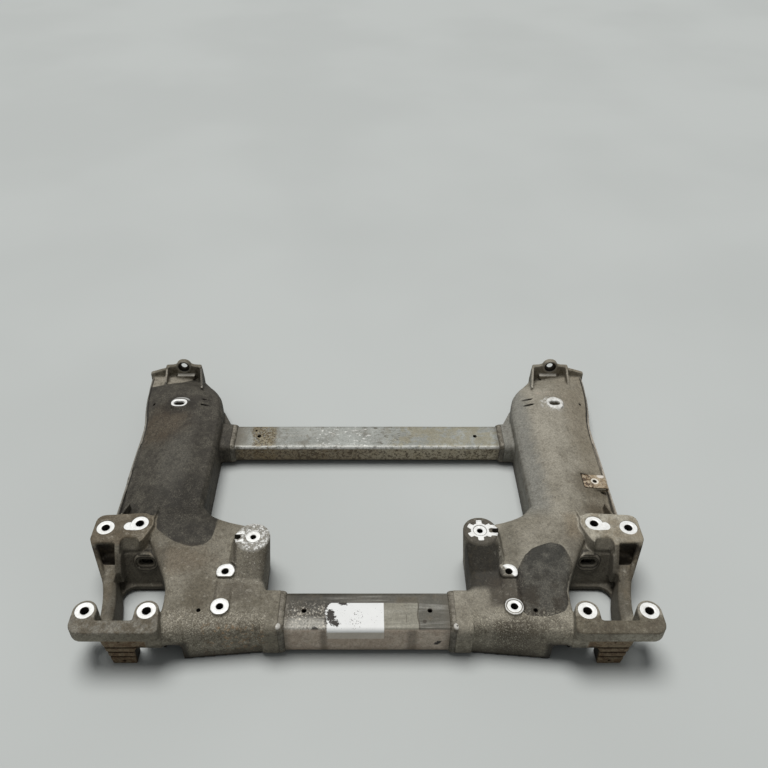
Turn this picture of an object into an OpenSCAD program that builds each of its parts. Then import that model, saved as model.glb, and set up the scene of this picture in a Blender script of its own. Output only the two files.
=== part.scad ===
// Front axle subframe of a car: two cast side members joined by two welded cross tubes.
// X runs across the car, Y towards the rear and Z up. The origin is on the floor under the middle.
// Sizes of the casting are given for the right-hand side. The left-hand one is its mirror image.

/* [Overall] */
// Length from the front edge of the pads to the rear rim
frame_length = 712; // [696:1:728]
// Width over the rear corners
frame_width = 1002; // [990:1:1014]

/* [Front tube] */
// Depth of the front tube along the car
front_tube_depth = 76; // [64:1:80]
// Height of the front tube
front_tube_height = 62; // [50:1:64]
// Middle of the front tube behind the front edge
front_tube_in = 61; // [58:1:70]
// Distance of each drain hole in the front tube from the middle
front_tube_hole_x = 105; // [60:1:125]

/* [Rear tube] */
// Depth of the rear tube along the car
rear_tube_depth = 70; // [56:1:76]
// Height of the rear tube
rear_tube_height = 42; // [34:1:48]
// Middle of the rear tube in front of the rear rim
rear_tube_in = 203; // [191:1:216]
// Distance of each drain hole in the rear tube from the middle
rear_tube_hole_x = 230; // [120:1:265]

/* [Tubes and welds] */
// Small hole beside the left drain hole of the rear tube
small_hole_d = 5; // [3:0.5:6]
// Wall of both tubes
tube_wall = 4; // [2.5:0.5:5]
// Corner radius of both tubes
tube_corner_r = 8; // [6:0.5:12]
// Height of the underside of both tubes above the floor
tube_bottom = 6; // [5:0.5:9]
// Drain holes in the tubes
tube_hole_d = 8.6; // [5:0.1:12]
// Wall of the collars that hold the tubes
collar_wall = 5; // [4:0.5:6]
// Length of each collar in front of the casting's wall
collar_reach = 22; // [18:1:28]
// Length of tube inside each collar
tube_insert = 17; // [12:1:17]
// Clearance between a tube and its collar
tube_clearance = 0.3; // [0.2:0.05:0.5]
// Height of the weld beads on the tubes
weld_leg = 5; // [3:0.5:5]
// Run of the weld beads along the tubes
weld_run = 11; // [5:1:12]

/* [Side casting] */
// Wall of the casting
wall = 7; // [5:0.5:8]
// Inner face of the casting at the front tube
deck_inner_x = 168; // [160:1:174]
// Inner face of the long member
member_inner_x = 310; // [302:1:318]
// Outer face of the long member
member_outer_x = 471; // [465:1:476]
// Top of the member along its middle
member_crown_z = 87; // [84:1:91]
// Top of the member along its inner edge
member_inner_z = 76; // [72:1:80]
// Top of the member along its outer edge
member_outer_z = 62; // [58:1:66]
// Top of the deck between the pads and the pedestal
deck_z = 76; // [73:1:79]
// Top of the rear end in front of the lug
rear_deck_z = 60; // [56:1:64]
// Radius of the upper inner edge
inner_edge_r = 17; // [13:1:20]
// Radius of the upper outer edge
outer_edge_r = 10; // [8.5:0.5:13]
// Thickness of the ribs on the underside
rib_t = 5; // [3:0.5:7]
// Height of the lower edge of the ribs above the floor
rib_bottom = 12; // [6:1:24]
// Height of the flange along the outer edge above the floor
flange_z = 40; // [32:1:44]
// Width of the flange
flange_w = 8; // [6:1:10]
// Thickness of the flange
flange_t = 5; // [3:0.5:7]

/* [Front pads] */
// Height of the front pads
front_pad_z = 95; // [90:1:99]
// Thickness of the bar that carries the front pads
front_pad_t = 25; // [20:1:30]
// Row of the front bolts behind the front edge
front_pad_in = 43; // [40:1:46]
// Inner front bolt
front_pad_inner_x = 359; // [355:1:363]
// Outer front bolt
front_pad_outer_x = 460; // [457:1:464]
// Radius of the ears round the bolts
pad_ear_r = 20; // [17.5:0.5:21]
// Bolt holes in the pads
pad_hole_d = 14; // [11:0.5:16]
// Machined ring round each bolt hole
pad_face_d = 32; // [26:0.5:34]
// Depth of the machined rings
pad_face_depth = 1; // [0.5:0.1:1.5]

/* [Rear block] */
// Height of the rear block
block_z = 105; // [100:1:108]
// Front of the rear block behind the front edge
block_front_in = 175; // [171:1:179]
// Rear of the rear block behind the front edge
block_rear_in = 239; // [236:1:243]
// Outer face of the rear block
block_outer_x = 488; // [484:1:492]
// Inner bolt of the block, across the car
block_inner_bolt_x = 408; // [405:1:411]
// Inner bolt of the block behind the front edge
block_inner_bolt_in = 219; // [217:1:221]
// Outer bolt of the block, across the car
block_outer_bolt_x = 467; // [464:1:470]
// Outer bolt of the block behind the front edge
block_outer_bolt_in = 209; // [207:1:213]

/* [Control arm pocket] */
// Lean of the rear wall of the pocket, forward for each unit of drop
pocket_lean = 0.3; // [0.26:0.01:0.34]
// Height of the slotted bolt hole in the rear wall
pocket_slot_z = 60; // [56:1:64]
// Slotted bolt hole across the car
pocket_slot_x = 393; // [389:1:397]
// Length of the slotted bolt hole
pocket_slot_l = 26; // [20:1:30]
// Width of the slotted bolt hole
pocket_slot_w = 12; // [9:1:14]
// Top of the outer arm
arm_top_z = 56; // [53:1:60]
// Width of the outer arm along its top
arm_w = 19; // [15:1:22]
// Inner edge of the arch in the front wall
arch_inner_x = 306; // [300:1:312]
// Outer edge of the arch
arch_outer_x = 382; // [378:1:384]
// Height of the arch
arch_h = 42; // [34:1:46]

/* [Pedestal and rack bosses] */
// Height of the engine mount pedestal, the highest point
pedestal_z = 110; // [107:1:116]
// Engine bolts across the car
pedestal_x = 200; // [197:1:203]
// Right engine bolt behind the front edge
right_engine_in = 198; // [193:1:202]
// Left engine bolt behind the front edge
left_engine_in = 184; // [180:1:190]
// Radius of the top of the pedestals
pedestal_r = 30; // [28:1:33]
// Engine bolt hole
engine_hole_d = 10; // [8:0.5:14]
// Distance from the engine bolt to the locating hole
locating_hole_offset = 27; // [24:1:29]
// Rack bosses across the car
rack_x = 244; // [241:1:247]
// Rear rack boss behind the front edge
rack_rear_in = 128; // [124:1:132]
// Front rack boss behind the front edge
rack_front_in = 60; // [57:1:64]
// Height of the rear rack boss
rack_rear_z = 86; // [84:1:90]
// Height of the front rack boss
rack_front_z = 82; // [81:1:86]
// Diameter of the rack bosses
rack_boss_d = 32; // [28:1:36]
// Holes in the rack bosses
rack_hole_d = 12; // [9:0.5:14]

/* [Rear end] */
// Hole in the rear lug, in from the rear corner
lug_in = 80; // [76:1:84]
// Hole in the rear lug, above the floor
lug_hole_z = 85; // [82:1:88]
// Diameter of the lug hole
lug_hole_d = 13.5; // [10:0.5:15]
// Radius of the lug round its hole
lug_r = 17; // [15:0.5:19]
// Height of the rear wall beside the lug
rear_shoulder_z = 87; // [82:1:92]
// Height of the rim along the rear edge
rear_rim_z = 77; // [73:1:80]
// Slotted hole in the member across the car
member_slot_x = 407; // [400:1:414]
// Slotted hole in the member in front of the rear rim
member_slot_in = 139; // [134:1:144]
// Length of the slotted hole in the member
member_slot_l = 23; // [18:1:26]
// Width of the slotted hole in the member
member_slot_w = 12.5; // [9:0.5:15]

/* [Clip nut] */
// Length of the clip nut across the car
clip_l = 40; // [34:1:44]
// Width of the clip nut along the car
clip_w = 34; // [30:1:38]
// Thickness of the clip's sheet
clip_t = 2; // [1.5:0.1:2.5]
// Hole in the clip nut
clip_hole_d = 8.5; // [6:0.5:12]

/* [Hidden] */
$fn = 48;
hull_fn = 32;

casting_colour = "#7c756a";
tube_colour = "#8d8b86";
weld_colour = "#a6a39c";
clip_colour = "#9c7b57";

// Ends of the frame
y_front = -frame_length / 2;
y_rear = frame_length / 2;
x_rear = frame_width / 2;
past = 2;

// Places that keep their distance from the end of the frame that they belong to
front_tube_y = y_front + front_tube_in;
front_pad_y = y_front + front_pad_in;
block_front_y = y_front + block_front_in;
block_rear_y = y_front + block_rear_in;
pocket_wall_y = block_front_y + 6;
block_inner_bolt_y = y_front + block_inner_bolt_in;
block_outer_bolt_y = y_front + block_outer_bolt_in;
right_engine_y = y_front + right_engine_in;
left_engine_y = y_front + left_engine_in;
rack_rear_y = y_front + rack_rear_in;
rack_front_y = y_front + rack_front_in;
rear_tube_y = y_rear - rear_tube_in;
member_slot_y = y_rear - member_slot_in;
lug_x = x_rear - lug_in;

// Fineness of the smooth castings
station_steps = 2;
edge_steps = 3;
crown_steps = 5;
arc_steps = 10;

// Small hole of the rear tube, from the middle of the frame and of the tube
small_hole = [72 - member_inner_x, 17];

// Front wall and the rise of the deck behind it
front_wall_y = y_front + 13;
front_skew = 0.09;
deck_outer_x = front_pad_inner_x - 16;
deck_end_y = y_front + 312;
deck_low_z = arch_h + 6;

// Bar that carries the front pads, and the column below it
bar_rear_y = front_pad_y - 18;
bar_inner_x = front_pad_inner_x - pad_ear_r - 5;
bar_outer_x = front_pad_outer_x + pad_ear_r;
bar_inner_r = 10;
bar_outer_r = 20;
bar_bottom = front_pad_z - front_pad_t;
inner_ear_bottom = 24;
outer_ear_bottom = arm_top_z - 12;
ear_step = 1;
front_web_y = front_wall_y - 6;
front_web_t = wall + 4;
column_front_y = y_front + 5;
column_depth = 26;
column_foot = [arch_outer_x, arch_outer_x + 40];
column_head = [arch_outer_x - 7, arch_outer_x + 50];
column_brow = 6;
arch_corner_r = 12;
arch_end_y = front_wall_y + wall + 14;
groove_count = 3;
groove_l = 80;
groove_h = 4;
groove_depth = 3;
groove_pitch = 13;
groove_first_z = 17;
column_hole_d = 5;
column_hole_depth = 12;
column_holes_z = [8, 63];

// Outer arm, an arc that bows towards the pocket
arm_centre = [706, front_pad_y];
arm_r = arm_centre.x - front_pad_outer_x + 12;
arm_start = 148;
arm_end = 182;
arm_slope_w = 7;
arm_slope_top_w = 3;
arm_edge = 4;
arm_inner_edge = 6;
arm_heel = 8;
arm_bottom = 4;
arm_fn = 96;

// Rear block, with its cheek, web and shoulder down to the outer arm and the recess beside the web
block_bottom = 34;
block_corner_r = 15;
block_ear_r = 25;
block_nose = [4, 8];
block_ear_arc = [75, 205];
cheek_w = 6;
cheek_h = 8;
cheek_skin = 1;
cheek_foot = [block_outer_x - 31, block_front_y - 44];
shoulder_in = 19;
shoulder_z = arm_top_z + 12;
web_w = 11;
web_x = block_outer_x - 57;
web_top = [[4, -0.5], [-4, -1], [-12, -11]];
web_foot_y = block_front_y - 33;
web_foot_z = arm_top_z + 4;
recess_w = 32;
recess_x = web_x + 2 - recess_w;
recess_depth = 13;
recess_bottom = pocket_slot_z + 20;
recess_foot_y = pocket_wall_y - pocket_lean * (block_z - recess_bottom);
recess_lean = atan((block_front_y + recess_depth - recess_foot_y) / (block_z - recess_bottom));
recess_reach = (block_z - recess_bottom) / cos(recess_lean);
recess_corner_r = 9;
block_tip = [recess_x - 7, block_front_y + 9];
gusset_t = 4.5;
gusset_sink = 12;
gusset_top_z = block_z - 3;
gusset_end = [block_rear_y + 50, member_crown_z - 7];
gussets_x = [block_inner_bolt_x - 20, block_outer_bolt_x - 18];

// Rear wall of the pocket, its slotted boss and the lip along its foot
slot_boss_d = 40;
slot_boss_t = 4;
slot_boss_y = pocket_wall_y - pocket_lean * (block_z - pocket_slot_z);
slot_sink_border = 4;
slot_sink_depth = 2;
pocket_lip_z = [5, 14];
pocket_lip_y = [pocket_wall_y - 32, pocket_wall_y - 12];
pocket_lip_x = [deck_outer_x + 10, deck_outer_x + 102];
pocket_lip_r = 22;
pocket_lip_w = 10;

// Pedestal
pedestal_inner_x = deck_inner_x + 12;
pedestal_foot_l = [-80, 36];
pedestal_foot_w = 68;
pedestal_foot_z = 64;
pedestal_foot_r = 20;
engine_boss_r = 16;
engine_boss_h = 46;
engine_hole_depth = 38;
engine_face_d = 23;
locating_hole_depth = 14;
locating_ear_r = 8.5;
locating_ear_h = 40;
locating_ear_drop = 0.5;

// Rack bosses
rack_rear_flat = 11;
rack_flat_z = deck_z + 4;
rack_boss_bottom = 10;
rack_web_w = 28;
rack_web_rise = 3.5;
deck_hole = [279, y_front + 56];
deck_hole_d = 7;

// Rear end
rear_wall_t = 10;
rear_inner_x = x_rear - 122;
rear_corner_z = 48;
lug_boss_l = 11;
lug_ring_d = 2 * lug_r - 1;
lug_sink_d = lug_ring_d - 8;
lug_sink_depth = 6;
lug_ring_t = 1;
lug_neck = 21;
lug_arc = [15, 165];
lug_step = 1;
rim_fall = 12;
rim_step = 4;
shoulder_fall = 2;
brace_x = [lug_x - 37, lug_x + 39];
brace_t = 5;
brace_l = [84, 74];
brace_front_z = [member_crown_z - 3, member_outer_z + 8];
brace_turn = [-11, -4];
brace_toe = 20;
brace_top_z = rear_shoulder_z - 3;
brace_bottom = rear_deck_z - 12;
ledge_x = lug_x - 3.5;
ledge_l = 40;
ledge_w = 9;
ledge_h = 10;
ledge_bottom = rear_deck_z - 4;
member_boss_d = 38;
member_boss_rise = 0.6;
member_hole = [x_rear - 32, y_rear - 120];
member_hole_d = 6;
notches = [[351, y_rear - 121], [351, y_rear - 141]];
notch_l = 18;
notch_w = 4;
notch_z = member_inner_z + 3;
tube_web_h = rear_tube_height - 4;
tube_web_l = 46;
tube_web_tip = [5, 12];
tube_web_start = 4;

// Ribs on the underside, closer together than a hand's width
member_rib_steps = 4;
member_rib_row = [y_front + 256, y_rear - 104];
last_rib_y = y_rear - 38;
member_ribs_y = concat(
    [for (k = [0 : member_rib_steps]) lerp(member_rib_row[0], member_rib_row[1], k / member_rib_steps)],
    [last_rib_y]
);
member_ribs_x = [393];
deck_ribs_y = [y_front + 94, y_front + 166];
deck_ribs_x = [rack_x];
rib_sink = 3;
flange_rim_t = 4;
flange_rim_h = 6;
flange_y = [y_front + 252, y_rear - 66];
flange_fade_y = y_rear - 256;
flange_end_w = 1;
flange_sink = 4;

// Clip nut on the outer edge of the right-hand casting. Its seat is a nearly level tab, sunk into the
// slope at its inner end
clip_y = y_front + 349;
clip_station = 3;
clip_fit = 0.4;
clip_out_x = member_outer_x - outer_edge_r;
clip_in_x = clip_out_x - clip_l;
clip_tilt = 4;
clip_sink = 5;
clip_relief = 0.5;
clip_tab_t = wall - clip_relief;
clip_edge = 2;
clip_border = 2;
clip_lower_l = 26;
clip_hole_x = -17;
clip_nut_d = 14;
clip_nut_h = 6;
clip_window_h = 12;
clip_window_l = 34;

// Station of a smooth body: its place along the car, inner and outer x, the heights of its top at the
// inner edge, middle and outer edge, its lean and its skew
function station(y, x0, x1, tops, lean = 0, skew = 0) = [y, x0, x1, tops[0], tops[1], tops[2], lean, skew];

// Heights that the stations start from
member_tops = [member_inner_z, member_crown_z, member_outer_z];
deck_tops = [deck_z, deck_z, deck_z];
low_tops = [deck_low_z, deck_low_z, deck_low_z];
rear_tops = [rear_deck_z, rear_deck_z, rear_deck_z];

// Stations of the long member, from the pocket to the rear wall
member_stations = [
    station(pocket_wall_y, member_inner_x, member_outer_x, deck_tops + [-6, 0, -4], pocket_lean),
    station(y_front + 231, member_inner_x, member_outer_x, deck_tops + [0, 8, -16], pocket_lean / 3),
    station(y_front + 276, member_inner_x, member_outer_x, member_tops + [-1, -3, -8]),
    station(y_front + 336, member_inner_x, member_outer_x, member_tops),
    station(y_rear - 296, member_inner_x, member_outer_x + 1, member_tops),
    station(y_rear - 216, member_inner_x, member_outer_x + 2, member_tops),
    station(y_rear - 170, member_inner_x + 1, x_rear - 24, member_tops),
    station(y_rear - 134, member_inner_x + 5, x_rear - 16, member_tops),
    station(y_rear - 94, rear_inner_x - 54, x_rear - 9, member_tops + [-4, -4, 0]),
    station(y_rear - 58, rear_inner_x - 35, x_rear - 5, rear_tops + [2, 13, 1]),
    station(y_rear - 38, rear_inner_x - 24, x_rear - 3, rear_tops + [-8, 2, -1]),
    station(y_rear - 4, rear_inner_x, x_rear - 1, rear_tops + [-14, -1, -3])
];

// Stations of the deck, from the front wall to its end under the member
deck_stations = [
    station(front_wall_y, deck_inner_x, deck_outer_x + 8, low_tops, 0, front_skew),
    station(front_wall_y + 3, deck_inner_x, deck_outer_x + 7, deck_tops + [-13, -12, -12], 0, front_skew),
    station(front_wall_y + 14, deck_inner_x, deck_outer_x + 4, deck_tops + [-3, -1, 0], 0, front_skew),
    station(y_front + 56, deck_inner_x, deck_outer_x, deck_tops + [-2, 1, 0], 0, front_skew / 1.5),
    station(y_front + 94, deck_inner_x, deck_outer_x + 1, deck_tops + [-1, 1, 0]),
    station(y_front + 120, pedestal_inner_x - 2, deck_outer_x + 8, deck_tops + [0, 2, 1]),
    station(y_front + 169, pedestal_inner_x, deck_outer_x + 33, deck_tops + [2, 7, 8]),
    station(y_front + 206, pedestal_inner_x + 3, deck_outer_x + 52, deck_tops + [3, 11, 18]),
    station(y_front + 230, pedestal_inner_x + 18, deck_outer_x + 58, deck_tops + [3, 12, 19]),
    station(y_front + 244, pedestal_inner_x + 62, deck_outer_x + 56, deck_tops + [2, 12, 17]),
    station(y_front + 262, member_inner_x - 28, deck_outer_x + 50, deck_tops + [1, 10, 13]),
    station(y_front + 290, member_inner_x - 5, deck_outer_x + 47, deck_tops + [-6, 1, 4]),
    station(deck_end_y, member_inner_x + 12, deck_outer_x + 47, deck_tops + [-14, -8, -6])
];

// Value part of the way from a to b
function lerp(a, b, t) = a + (b - a) * t;

// Points on an arc round c from angle a0 to angle a1
function arc(c, r, a0, a1) =
    [for (k = [0 : arc_steps]) let (a = lerp(a0, a1, k / arc_steps)) c + r * [cos(a), sin(a)]];

// Point between stations b and c on the smooth curve through a, b, c and d
function curve_point(a, b, c, d, t) =
    0.5 * (2 * b + (c - a) * t + (2 * a - 5 * b + 4 * c - d) * t * t + (3 * b - a - 3 * c + d) * t * t * t);

// Stations with smooth steps added in between
function smooth(list) = concat(
    [for (i = [0 : len(list) - 2]) for (k = [0 : station_steps - 1])
        curve_point(
            list[max(i - 1, 0)], list[i], list[i + 1], list[min(i + 2, len(list) - 1)], k / station_steps
        )],
    [list[len(list) - 1]]
);

// Height of the top of a section at a share u of its width
function crown(z0, zm, z1, u) = lerp(z0, z1, u) + 4 * u * (1 - u) * (zm - (z0 + z1) / 2);

// Outline of one section, set in from the outside by inset and open down to base
function section(s, inset, base) =
    let (
        x0 = s[1] + inset,
        x1 = s[2] - inset,
        z0 = s[3] - inset,
        z1 = s[5] - inset,
        r0 = inner_edge_r - inset,
        r1 = outer_edge_r - inset,
        inner = [for (k = [0 : edge_steps]) let (a = 90 * k / edge_steps)
            [x0 + r0 * (1 - cos(a)), z0 - r0 * (1 - sin(a))]],
        top = [for (k = [1 : crown_steps - 1]) let (u = k / crown_steps)
            [lerp(x0 + r0, x1 - r1, u), crown(z0, s[4] - inset, z1, u)]],
        outer = [for (k = [0 : edge_steps]) let (a = 90 * k / edge_steps)
            [x1 - r1 * (1 - sin(a)), z1 - r1 * (1 - cos(a))]]
    )
    concat([[x0, base]], inner, top, outer, [[x1, base]]);

// Height from which the leaning sections lean, and the place from which the skewed ones turn
lean_z = block_z;
skew_x = arch_inner_x;

// Solid through all stations, set in all round by inset and pushed past the floor if it is a core
module loft(stations, inset) {
    first = stations[0][0];
    last = stations[len(stations) - 1][0];
    middle = (first + last) / 2;
    shrink = (last - first - 2 * inset) / (last - first);
    rows = smooth(stations);
    base = inset > 0 ? -past : 0;
    outlines = [for (s = rows) section(s, inset, base)];
    n = len(outlines[0]);
    points = [for (i = [0 : len(rows) - 1]) for (p = outlines[i])
        let (s = rows[i], y = middle + (s[0] - middle) * shrink)
        [p.x, y - s[6] * (lean_z - p.y) - s[7] * (p.x - skew_x), p.y]];
    sides = [for (i = [0 : len(rows) - 2]) for (j = [0 : n - 1])
        let (a = i * n + j, b = i * n + (j + 1) % n)
        each [[a, a + n, b + n], [a, b + n, b]]];
    front = [for (j = [0 : n - 1]) j];
    back = [for (j = [n - 1 : -1 : 0]) (len(rows) - 1) * n + j];
    polyhedron(points, concat(sides, [front, back]));
}

// Extrusion along Y, from y0 to y1, of an outline drawn across the car
module across(y0, y1) {
    translate([0, y1, 0])
        rotate([90, 0, 0])
            linear_extrude(y1 - y0)
                children();
}

// Extrusion along X, from x0 to x1, of an outline drawn in y and z
module along(x0, x1) {
    translate([x0, 0, 0])
        rotate([90, 0, 90])
            linear_extrude(x1 - x0)
                children();
}

// Slotted cylinder along Z, longer by its straight part in X
module slot(length, width, height) {
    straight = length - width;
    for (side = [-1, 1])
        translate([side * straight / 2, 0, 0])
            cylinder(d = width, h = height);
    translate([-straight / 2, -width / 2, 0])
        cube([straight, width, height]);
}

// Rectangle with rounded corners, centred
module rounded_rectangle(w, h, r) {
    x = w / 2 - r;
    y = h / 2 - r;
    corners = [[x, y], [-x, y], [-x, -y], [x, -y]];
    polygon([for (k = [0 : 3]) each arc(corners[k], r, 90 * k, 90 * k + 90)]);
}

// Pedestal for the engine mount at engine_y, set in by inset
module pedestal(engine_y, inset) {
    foot_x = [pedestal_inner_x, pedestal_inner_x + pedestal_foot_w];
    base = inset > 0 ? -past : 0;
    hull() {
        translate([pedestal_x, engine_y, pedestal_z - inset - 1])
            cylinder(r = pedestal_r - inset, h = 1, $fn = hull_fn);
        for (x = [foot_x[0] + pedestal_foot_r, foot_x[1] - pedestal_foot_r])
            for (y = [pedestal_foot_l[0] + pedestal_foot_r, pedestal_foot_l[1] - pedestal_foot_r])
                translate([x, engine_y + y, base])
                    cylinder(r = pedestal_foot_r - inset, h = pedestal_foot_z - inset - base, $fn = hull_fn);
    }
}

// Collar round the end of a tube, from the casting inwards
module collar(wall_x, y, depth, height) {
    border = 2 * collar_wall;
    translate([wall_x - collar_reach, y, tube_bottom + height / 2])
        rotate([90, 0, 90])
            linear_extrude(collar_reach + wall)
                rounded_rectangle(depth + border, height + border, tube_corner_r + collar_wall);
}

// Space for the end of a tube in its collar
module socket(wall_x, y, depth, height) {
    length = tube_insert + tube_clearance;
    gap = 2 * tube_clearance;
    translate([wall_x - collar_reach - past, y, tube_bottom + height / 2])
        rotate([90, 0, 90])
            linear_extrude(length + past)
                rounded_rectangle(depth + gap, height + gap, tube_corner_r + tube_clearance);
}

// Ribs on the underside, before they are trimmed to the casting
module member_ribs() {
    height = member_crown_z - rib_bottom;
    for (y = member_ribs_y)
        translate([member_inner_x, y - rib_t / 2, rib_bottom])
            cube([x_rear - member_inner_x, rib_t, height]);
    for (x = member_ribs_x)
        translate([x - rib_t / 2, pocket_wall_y, rib_bottom])
            cube([rib_t, y_rear - pocket_wall_y - rear_wall_t, height]);
}

// Ribs under the deck, before they are trimmed to the casting
module deck_ribs() {
    height = member_crown_z - rib_bottom;
    for (y = deck_ribs_y)
        translate([deck_inner_x, y - rib_t / 2, rib_bottom])
            cube([member_inner_x - deck_inner_x + wall, rib_t, height]);
    for (x = deck_ribs_x)
        translate([x - rib_t / 2, front_wall_y, rib_bottom])
            cube([rib_t, right_engine_y - front_wall_y, height]);
}

// Hollow casting without its pads and bosses
module shell(engine_y) {
    difference() {
        union() {
            loft(member_stations, 0);
            loft(deck_stations, 0);
            pedestal(engine_y, 0);
        }
        loft(member_stations, wall);
        loft(deck_stations, wall);
        pedestal(engine_y, wall);
    }
    intersection() {
        loft(member_stations, rib_sink);
        member_ribs();
    }
    intersection() {
        loft(deck_stations, rib_sink);
        deck_ribs();
    }
}

// Width of the flange at y, which runs out towards the rear
function flange_at(y) =
    lerp(flange_w, flange_end_w, max(0, min(1, (y - flange_fade_y) / (flange_y[1] - flange_fade_y))));

// Flange along the outer edge with its upturned rim
module outer_flange() {
    edge = [for (s = smooth(member_stations)) if (s[0] > flange_y[0] && s[0] < flange_y[1]) [s[2], s[0]]];
    back = [for (k = [len(edge) - 1 : -1 : 0]) edge[k]];
    outer = [for (p = edge) p + [flange_at(p.y), 0]];
    translate([0, 0, flange_z])
        linear_extrude(flange_t)
            polygon(concat(outer, [for (p = back) p - [flange_sink, 0]]));
    translate([0, 0, flange_z])
        linear_extrude(flange_t + flange_rim_h)
            polygon(concat(outer, [for (p = back) p + [flange_at(p.y) - flange_rim_t, 0]]));
}

// Bar with the two front pads, the column below it and the front wall beside the column
module front_bar() {
    translate([0, 0, bar_bottom])
        linear_extrude(front_pad_t)
            polygon(concat(
                arc([bar_inner_x + bar_inner_r, y_front + bar_inner_r], bar_inner_r, 180, 270),
                arc([bar_outer_x - bar_outer_r, y_front + bar_outer_r], bar_outer_r, 270, 360),
                arc([front_pad_outer_x, front_pad_y], pad_ear_r, 0, 180),
                [[front_pad_outer_x - pad_ear_r, bar_rear_y], [front_pad_inner_x + pad_ear_r, bar_rear_y]],
                arc([front_pad_inner_x, front_pad_y], pad_ear_r, 0, 180)
            ));
    translate([front_pad_inner_x, front_pad_y, inner_ear_bottom])
        cylinder(r = pad_ear_r - ear_step, h = front_pad_z - ear_step - inner_ear_bottom);
    translate([front_pad_outer_x, front_pad_y, outer_ear_bottom])
        cylinder(r = pad_ear_r - ear_step, h = front_pad_z - ear_step - outer_ear_bottom);
    across(column_front_y, column_front_y + column_depth)
        polygon([
            [column_foot[0], 0], [column_foot[1], 0],
            [column_head[1], bar_bottom - column_brow], [column_head[1], bar_bottom + past],
            [column_head[0], bar_bottom + past]
        ]);
    translate([bar_inner_x, front_web_y, arch_h])
        cube([column_head[0] + past - bar_inner_x, front_web_t, bar_bottom - arch_h + past]);
}

// Grooves and small holes in the front of the column
module column_grooves() {
    middle_x = (column_foot[0] + column_foot[1]) / 2;
    for (k = [0 : groove_count - 1])
        translate([middle_x - groove_l / 2, column_front_y - past, groove_first_z + k * groove_pitch])
            cube([groove_l, groove_depth + past, groove_h]);
    for (z = column_holes_z)
        translate([middle_x, column_front_y - past, z])
            rotate([-90, 0, 0])
                cylinder(d = column_hole_d, h = column_hole_depth + past);
}

// Arch beside the column, cut through the front wall
module arch() {
    r = arch_corner_r;
    across(y_front - past, arch_end_y)
        polygon(concat(
            [[arch_inner_x, -past], [arch_outer_x, -past]],
            arc([arch_outer_x - r, arch_h - r], r, 0, 90),
            arc([arch_inner_x + r, arch_h - r], r, 90, 180)
        ));
}

// Arm outside the pocket, with a slope towards the pocket
module outer_arm() {
    inner_r = arm_r + arm_w;
    translate([arm_centre.x, arm_centre.y, 0])
        rotate([0, 0, arm_start])
            rotate_extrude(angle = arm_end - arm_start, $fn = arm_fn)
                polygon([
                    [arm_r, arm_bottom], [inner_r + arm_slope_w, arm_bottom],
                    [inner_r + arm_slope_w, arm_bottom + arm_heel],
                    [inner_r + arm_slope_top_w, arm_top_z - arm_inner_edge], [inner_r - arm_edge, arm_top_z],
                    [arm_r + arm_edge, arm_top_z], [arm_r, arm_top_z - arm_edge]
                ]);
}

// Solid block with the two rear pads, its cheek, its web, the shoulder between these two and the
// gussets behind it
module rear_block() {
    corner_x = block_outer_x - block_corner_r;
    translate([0, 0, block_bottom])
        linear_extrude(block_z - block_bottom)
            polygon(concat(
                arc(
                    [block_inner_bolt_x, block_inner_bolt_y], block_ear_r, block_ear_arc[0], block_ear_arc[1]
                ),
                [block_tip, [recess_x, block_front_y], [block_outer_x - block_nose.x, block_front_y]],
                [[block_outer_x, block_front_y + block_nose.y]],
                arc([corner_x, block_rear_y - block_corner_r], block_corner_r, 0, 90)
            ));
    cheek_x = block_outer_x - block_nose.x - cheek_w;
    hull() {
        translate([cheek_x, block_front_y - cheek_skin, block_z - 2 * cheek_skin])
            cube([cheek_w, cheek_h, cheek_skin]);
        translate([cheek_x, block_front_y, block_bottom])
            cube([cheek_w, cheek_h, cheek_skin]);
        translate([cheek_foot.x, cheek_foot.y, block_bottom])
            cube([cheek_w, cheek_h, arm_top_z + cheek_skin - block_bottom]);
    }
    inside_x = web_x + web_w - cheek_skin;
    shoulder_x = lerp(cheek_x, cheek_foot.x, shoulder_in / (block_front_y - cheek_foot.y)) + cheek_w / 2;
    hull() {
        translate([inside_x, block_front_y - shoulder_in, block_bottom])
            cube([shoulder_x - inside_x, cheek_skin, shoulder_z - block_bottom]);
        translate([inside_x, cheek_foot.y, block_bottom])
            cube([cheek_foot.x + cheek_w / 2 - inside_x, cheek_h, arm_top_z - block_bottom]);
    }
    along(web_x, web_x + web_w)
        polygon(concat(
            [for (p = web_top) p + [block_front_y, block_z]],
            [[web_foot_y, web_foot_z], [web_foot_y, block_bottom]],
            [[block_front_y + web_top[0].x, block_bottom]]
        ));
    for (x = gussets_x)
        along(x - gusset_t / 2, x + gusset_t / 2)
            polygon([
                [block_rear_y - gusset_sink, gusset_top_z], [block_rear_y, gusset_top_z], gusset_end,
                [gusset_end.x, member_outer_z], [block_rear_y - gusset_sink, member_outer_z - gusset_sink]
            ]);
}

// Recess in the front of the rear block, between its tip and the web. It leans more than the pocket's
// wall, so that it runs out into that wall at its foot
module block_recess() {
    r = recess_corner_r;
    translate([0, block_front_y + recess_depth, block_z])
        rotate([-recess_lean, 0, 0])
            translate([0, 0, -recess_reach])
                linear_extrude(2 * recess_reach)
                    polygon(concat(
                        arc([recess_x + recess_w - r, -r], r, 0, 90),
                        arc([recess_x + r, -r], r, 90, 180),
                        [[recess_x, -2 * recess_w], [recess_x + recess_w, -2 * recess_w]]
                    ));
}

// Frame on the leaning rear wall of the pocket, with its Z out of the wall at the slotted bolt hole
module at_slot_boss() {
    translate([pocket_slot_x, slot_boss_y, pocket_slot_z])
        rotate([90 - atan(pocket_lean), 0, 0])
            children();
}

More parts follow.
